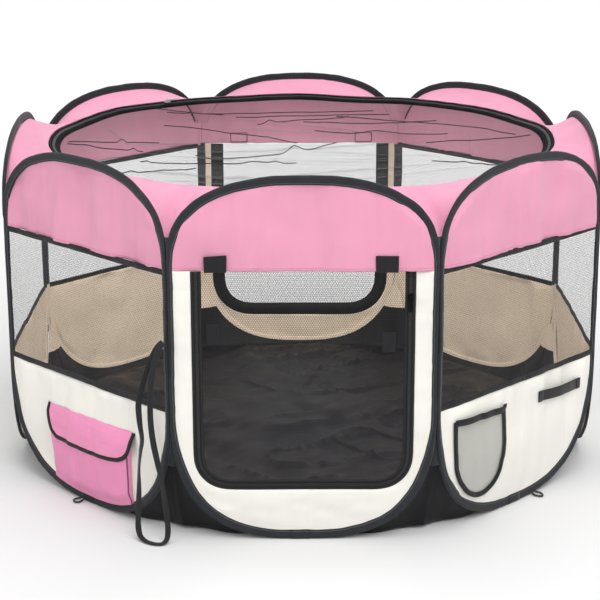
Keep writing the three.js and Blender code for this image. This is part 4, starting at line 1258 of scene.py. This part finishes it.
# the flap: sewn along its top, over the bag, with rounded corners and a bound edge
FU = [-0.0985, -0.0960, -0.0925, -0.0860, -0.0710, 0.019, 0.070, 0.094, 0.108, 0.1165, 0.1215, 0.1245]
FL = [0.1400, 0.1320, 0.1200, 0.1080, 0.0985, 0.0985, 0.1010, 0.1045, 0.1110, 0.1200, 0.1300, 0.1420]
cols, rws = 91, 40
s = np.linspace(-1, 1, cols)
fu = 0.0130 + np.sign(s) * (1 - (1 - np.abs(s)) ** 1.6) * 0.1115
fl = np.interp(fu, FU, FL)
P = np.zeros((rws, cols, 3))
UV = np.zeros((rws, cols, 2))
for i, v in enumerate(np.linspace(0, 1, rws)):
    zt = 0.1535 + 0.0030 * ss(-0.1, 0.12, fu)
    z = zt + (fl - zt) * v
    wide = ss(-0.10, 0.05, fu)
    out = np.interp(0.1555 - z, [0, 0.004, 0.012, 0.022, 0.030, 0.062], [0.0016, 0.0040, 0.0080, 0.0108, 0.0118, 0.0122])
    out = out * (0.66 + 0.34 * wide) + 0.0016 * ss(0.2, 1.0, v)
    crease = (0.0011 * vn(fu / 0.035, v * 2.5, 311) + 0.0006 * vn(fu / 0.014, v * 4.0, 312)) * math.sin(math.pi * min(1, 0.1 + 0.8 * v))
    P[i] = local(p, fu, z, out + crease + 0.8 * lower_n(p, fu, z))
    UV[i] = np.stack([fu + 5.0, z], -1)
flap = cloth("pocket_flap_cloth", P, UV, PINK_POCKET, PINK_IN, 0.0009, n_ax)
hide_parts("pocket_flap")
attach(flap, "flap")
edge_pts = np.concatenate([P[:, 0], P[-1, 1:-1], P[::-1, -1]])
d = np.concatenate([[0], np.cumsum(np.linalg.norm(np.diff(edge_pts, axis=0), axis=1))])
ss_ = np.linspace(0, d[-1], 170)
edge_pts = np.stack([np.interp(ss_, d, edge_pts[:, q]) for q in range(3)], -1)
for _ in range(4):
    edge_pts[1:-1] = (edge_pts[:-2] + 2 * edge_pts[1:-1] + edge_pts[2:]) / 4
tan = np.gradient(edge_pts, axis=0)
tan /= np.linalg.norm(tan, axis=1, keepdims=True)
nsurf = np.repeat(n_ax[None], len(tan), 0)
slope = 0.5 * ss(0.125, 0.150, edge_pts[:, 2])[:, None]
nsurf = nsurf * (1 - slope) + slope * (n_ax * 0.75 + np.array([0, 0, 0.6]))
sd = np.cross(tan, nsurf)
sd /= np.linalg.norm(sd, axis=1, keepdims=True)
upn = np.cross(sd, tan)
inward = (P.reshape(-1, 3).mean(0) - edge_pts)
sd *= np.sign((sd * inward).sum(1))[:, None]
o = sweep("pocket_flap_binding", edge_pts + sd * 0.0016, sd, upn, rounded(0.0072, 0.0026, 0.0012, 3), WINDOW)
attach(o, "flap")

# ------------------------------------------------------------------ front-right net pocket and webbing loop
p = "front_right"
t_ax, n_ax = axes_of(p)
body = f"{p}_panel"
D = np.array([(-0.170, 0.1870), (-0.1695, 0.160), (-0.167, 0.130), (-0.163, 0.106), (-0.152, 0.081), (-0.134, 0.058), (-0.109, 0.0445),
              (-0.086, 0.0430), (-0.065, 0.0520), (-0.051, 0.0710), (-0.0445, 0.098), (-0.0440, 0.132), (-0.0475, 0.1800)])
d = np.concatenate([[0], np.cumsum(np.hypot(*np.diff(D, axis=0).T))])
s = np.linspace(0, d[-1], 150)
D = np.stack([np.interp(s, d, D[:, 0]), np.interp(s, d, D[:, 1])], -1)
for _ in range(14):
    D[1:-1] = (D[:-2] + 2 * D[1:-1] + D[2:]) / 4
left_half = D[: int(np.argmin(D[:, 1])) + 1]
right_half = D[int(np.argmin(D[:, 1])):]
cols = 48
P = np.zeros((48, cols, 3))
UV = np.zeros((48, cols, 2))
for i, v in enumerate(np.linspace(0, 1, 48)):
    sh = 0.5 - 0.5 * np.cos(np.linspace(0, math.pi, cols))
    ztop = 0.1850 + (0.1775 - 0.1850) * sh
    z = D[:, 1].min() + 0.0006 + (ztop - D[:, 1].min() - 0.0006) * v
    zr = D[:, 1].min() + 0.0006 + (0.1780 - D[:, 1].min()) * v
    l = np.interp(zr, left_half[::-1, 1], left_half[::-1, 0])
    r = np.interp(zr, right_half[:, 1], right_half[:, 0])
    u = l + (r - l) * sh
    bulge = 0.0070 * np.sin(math.pi * sh) ** 0.7 * (ss(0, 0.35, v) * (1 - 0.25 * ss(0.8, 1, v)))
    P[i] = local(p, u, z, 0.0022 + bulge + 0.0007 * vn(u / 0.02, z / 0.03, 401) * np.sin(math.pi * sh) + lower_n(p, u, z))
    UV[i] = np.stack([u, z], -1)
o = net_sheet("net_pocket_mesh", P, UV, NET_POCKET)
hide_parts("net_pocket")
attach(o, body)
tan = np.gradient(D, axis=0)
tan /= np.linalg.norm(tan, axis=1, keepdims=True)
side = (-tan[:, 1:2]) * t_ax + tan[:, 0:1] * np.array([0, 0, 1.0])
C6 = local(p, D[:, 0], D[:, 1], 0.0030 + 0.0004 * vn(s / 0.012, 0.4, 402) + lower_n(p, D[:, 0], D[:, 1]))
o = sweep("net_pocket_binding", C6, side, np.repeat(n_ax[None], len(D), 0), rounded(0.0084, 0.0030, 0.0013, 3), WINDOW,
          v_of=lambda i, sec: 0.0042 - np.abs(sec[:, 0]) + 0.001)
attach(o, body)
top = P[-1]
top_s = np.stack([np.interp(np.linspace(0, 1, 70), np.linspace(0, 1, cols), top[:, q]) for q in range(3)], -1)
tz = np.gradient(top_s, axis=0)
tz /= np.linalg.norm(tz, axis=1, keepdims=True)
sd = np.cross(np.repeat(n_ax[None], 70, 0), tz)
sd /= np.linalg.norm(sd, axis=1, keepdims=True)
o = sweep("net_pocket_mouth_tape", top_s + n_ax * 0.0008, sd, np.cross(tz, sd), rounded(0.0108, 0.0028, 0.0013, 3), WINDOW)
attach(o, body)
# the binding's raw end stands up past the mouth
e0, e1 = D[-1], D[-1] + np.array([-0.0006, 0.0068])
ts = np.linspace(0, 1, 8)
us_, zs_ = e0[0] + (e1[0] - e0[0]) * ts, e0[1] + (e1[1] - e0[1]) * ts
o = sweep("net_pocket_binding_end", local(p, us_, zs_, 0.0048 + 0.0012 * ts + lower_n(p, us_, zs_)), np.repeat(t_ax[None], 8, 0), np.repeat(n_ax[None], 8, 0),
          rounded(0.0082, 0.0028, 0.0013, 3), WINDOW)
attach(o, body)
# webbing loop
us = np.linspace(0.046, 0.158, 90)
nn = np.interp(us, [0.046, 0.0545, 0.062, 0.076, 0.102, 0.128, 0.142, 0.1495, 0.158], [0.0018, 0.0018, 0.0026, 0.0044, 0.0062, 0.0044, 0.0026, 0.0018, 0.0018])
for _ in range(6):
    nn[1:-1] = (nn[:-2] + 2 * nn[1:-1] + nn[2:]) / 4
zw = 0.1730 - 0.0012 * (us - 0.102) / 0.056
base = float(lower_n(p, us, zw).max())
o = sweep("webbing_loop_tape", local(p, us, zw + 0.0004 * vn(us / 0.03, 1, 7), nn + base), np.repeat([[0, 0, 1.0]], 90, 0),
          np.repeat(n_ax[None], 90, 0), rounded(0.0182, 0.0018, 0.0008, 3), WEBBING, v_of=lambda i, sec: 0.0091 - np.abs(sec[:, 0]))
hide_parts("webbing_loop")
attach(o, body)
for q, (a0, a1) in enumerate(((0.0448, 0.0545), (0.1492, 0.1592))):
    us = np.linspace(a0, a1, 12)
    zw = 0.1730 - 0.0012 * (us - 0.102) / 0.056
    o = sweep(f"webbing_loop_end_{q}", local(p, us, zw, 0.0030 + base + 0 * us), np.repeat([[0, 0, 1.0]], 12, 0), np.repeat(n_ax[None], 12, 0),
              rounded(0.0186, 0.0016, 0.0007, 3), WEBBING, v_of=lambda i, sec: 0.0093 - np.abs(sec[:, 0]))
    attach(o, body)

# ------------------------------------------------------------------ stake loops
for p, u in (("front_left", -0.016), ("front_right", 0.046), ("back_right", 0.0), ("back_left", 0.0)):
    t_ax, n_ax = axes_of(p)
    k = 40
    a = np.linspace(math.radians(-150), math.radians(150), k)
    rad = 0.0088 * (1 + 0.10 * np.sin(3 * a + u * 50))
    uu = u + rad * np.sin(a) * 0.82
    nn = 0.0138 + rad * np.cos(a)
    uu = np.concatenate([[u - 0.0030], uu, [u + 0.0030]])
    nn = np.concatenate([[0.0015], nn, [0.0015]])
    zz = 0.0026 + 0.0022 * np.exp(-((nn - 0.0015) / 0.006) ** 2)
    C7 = local(p, uu, zz, nn)
    for _ in range(3):
        C7[1:-1] = (C7[:-2] + 2 * C7[1:-1] + C7[2:]) / 4
    tan = np.gradient(C7, axis=0)
    tan /= np.linalg.norm(tan, axis=1, keepdims=True)
    upz = np.repeat([[0, 0, 1.0]], len(C7), 0)
    sd = np.cross(tan, upz)
    sd /= np.linalg.norm(sd, axis=1, keepdims=True)
    o = sweep(f"{p}_stake_cord", C7, sd, np.cross(sd, tan), rounded(0.0030, 0.0030, 0.00149, 3), WEBBING)
    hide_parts(f"{p}_stake_loop")
    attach(o, f"{p}_panel")

# ------------------------------------------------------------------ hanging webbing strap
ROUTE = [
    (-214, -511, 331), (-223, -513, 322), (-234, -511, 301), (-243, -507, 275), (-250, -504, 250),
    (-255, -501, 226), (-254, -501, 196), (-251, -502, 169), (-254, -501, 148), (-257, -500, 122),
    (-258, -500, 86), (-260, -500, 50), (-261, -501, 24), (-258, -506, 9), (-250, -514, 3.4),
    (-240, -521, 2.4), (-230, -525, 2.4), (-221, -524, 2.8), (-215, -518, 7), (-213, -514, 20),
    (-214, -514, 42), (-217, -515, 71), (-221, -515, 104), (-227, -514, 136), (-233, -512, 169),
    (-236, -511, 200), (-236, -512, 228), (-234, -514, 262), (-228, -518, 296), (-221, -520, 319),
    (-214, -519, 333)]
pts = np.array(ROUTE, float) / 1000


def catmull(points, per=8):
    out = []
    q = np.concatenate([[2 * points[0] - points[1]], points, [2 * points[-1] - points[-2]]])
    for i in range(1, len(q) - 2):
        for t in np.linspace(0, 1, per, endpoint=False):
            a, b, c, d_ = q[i - 1], q[i], q[i + 1], q[i + 2]
            out.append(0.5 * ((2 * b) + (-a + c) * t + (2 * a - 5 * b + 4 * c - d_) * t ** 2 + (-a + 3 * b - 3 * c + d_) * t ** 3))
    out.append(points[-1])
    return np.array(out)


C8 = catmull(pts)
tan = np.gradient(C8, axis=0)
tan /= np.linalg.norm(tan, axis=1, keepdims=True)
outv = np.array([-math.sin(math.pi / 8), -math.cos(math.pi / 8), 0])
lie = (1 - ss(0.006, 0.060, C8[:, 2]))[:, None]
face = outv * (1 - lie) + np.array([0, 0, 1.0]) * lie
# the strands turn a little as they hang
d8 = np.concatenate([[0], np.cumsum(np.linalg.norm(np.diff(C8, axis=0), axis=1))])
twist = 0.85 * np.sin(d8 / d8[-1] * 2 * math.pi * 2.0 + 0.6) * ss(0.05, 0.14, C8[:, 2]) * ss(0.0, 0.03, 0.32 - C8[:, 2])
sd = np.cross(tan, face)
sd /= np.linalg.norm(sd, axis=1, keepdims=True)
for i in range(1, len(sd)):
    if sd[i] @ sd[i - 1] < 0:
        sd[i] = -sd[i]
upn = np.cross(sd, tan)
c_, s_ = np.cos(twist)[:, None], np.sin(twist)[:, None]
sd, upn = sd * c_ + upn * s_, upn * c_ - sd * s_
o = sweep("strap_webbing", C8, sd, upn, rounded(0.0096, 0.0015, 0.0007, 3), WEBBING, v_of=lambda i, sec: 0.0048 - np.abs(sec[:, 0]))
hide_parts("strap")
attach(o, "floor")
print("strap length", d8[-1])

# ------------------------------------------------------------------ carried-over CAD nodes
for p in PANELS:
    o = bpy.data.objects[f"{p}_spring_hoop"] if f"{p}_spring_hoop" in bpy.data.objects else frame["nodes"][f"{p}_spring_hoop"]
    for s_ in o.material_slots:
        s_.material = STEEL
    if not o.material_slots:
        o.data.materials.append(STEEL)

# ------------------------------------------------------------------ stage and light
me = bpy.data.meshes.new("ground")
me.from_pydata([(-40, -40, 0), (40, -40, 0), (40, 60, 0), (-40, 60, 0)], [], [(0, 1, 2, 3)])
ground = bpy.data.objects.new("ground", me)
scene.collection.objects.link(ground)
# painted shade: the paper is grey (0.64) within 0.8 m of the pen's centre and pales to 0.97 by 5 m, darkening the floor
# round the pen
g = Nodes("ground_paper_painted_shade")
gs = g.shader(Roughness=0.9)
place = g.t.nodes.new("ShaderNodeTexCoord")
reach = g.t.nodes.new("ShaderNodeVectorMath")
reach.operation = "LENGTH"
g.link(place.outputs["Object"], reach.inputs[0])
g.link(g.mix(g.remap(reach.outputs["Value"], 0.8, 5.0, 0, 1), (0.64, 0.64, 0.64, 1), (0.97, 0.97, 0.97, 1)), gs.inputs["Base Color"])
gs.inputs["Specular IOR Level"].default_value = 0.1
g.link(gs.outputs[0], g.out.inputs[0])
me.materials.append(g.mat)
ground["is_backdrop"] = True

world = bpy.data.worlds.new("world")
world.use_nodes = True
bg = world.node_tree.nodes["Background"]
bg.inputs[0].default_value = (1, 1, 1, 1)
bg.inputs[1].default_value = 1.0
scene.world = world


def area(name, place, size, power, target=(0, 0, 0.25)):
    l = bpy.data.lights.new(name, "AREA")
    l.shape = "RECTANGLE"
    l.size, l.size_y = size
    l.energy = power
    o = bpy.data.objects.new(name, l)
    scene.collection.objects.link(o)
    o.location = place
    d = Vector(target) - Vector(place)
    o.rotation_euler = d.to_track_quat("-Z", "Y").to_euler()
    return o


area("key", (1.3, -3.0, 3.6), (2.4, 2.4), 90)
area("top", (0.1, -0.9, 3.9), (2.8, 2.8), 47)
area("fill", (-2.8, -2.6, 1.8), (2.2, 2.2), 14)
area("rim", (0.6, 3.4, 2.8), (2.8, 2.0), 18)
# a soft glow inside the pen stands for the light that comes through its thin cloth
glow = bpy.data.lights.new("glow", "POINT")
glow.energy = 4.1
glow.shadow_soft_size = 0.22
glow_at = bpy.data.objects.new("glow", glow)
glow_at.location = (0, -0.05, 0.36)
glow_at.visible_camera = False
glow_at.visible_glossy = False
scene.collection.objects.link(glow_at)
scene.view_settings.view_transform = "Standard"
try:
    scene.cycles.transparent_max_bounces = 32
except AttributeError:
    pass

low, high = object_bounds()
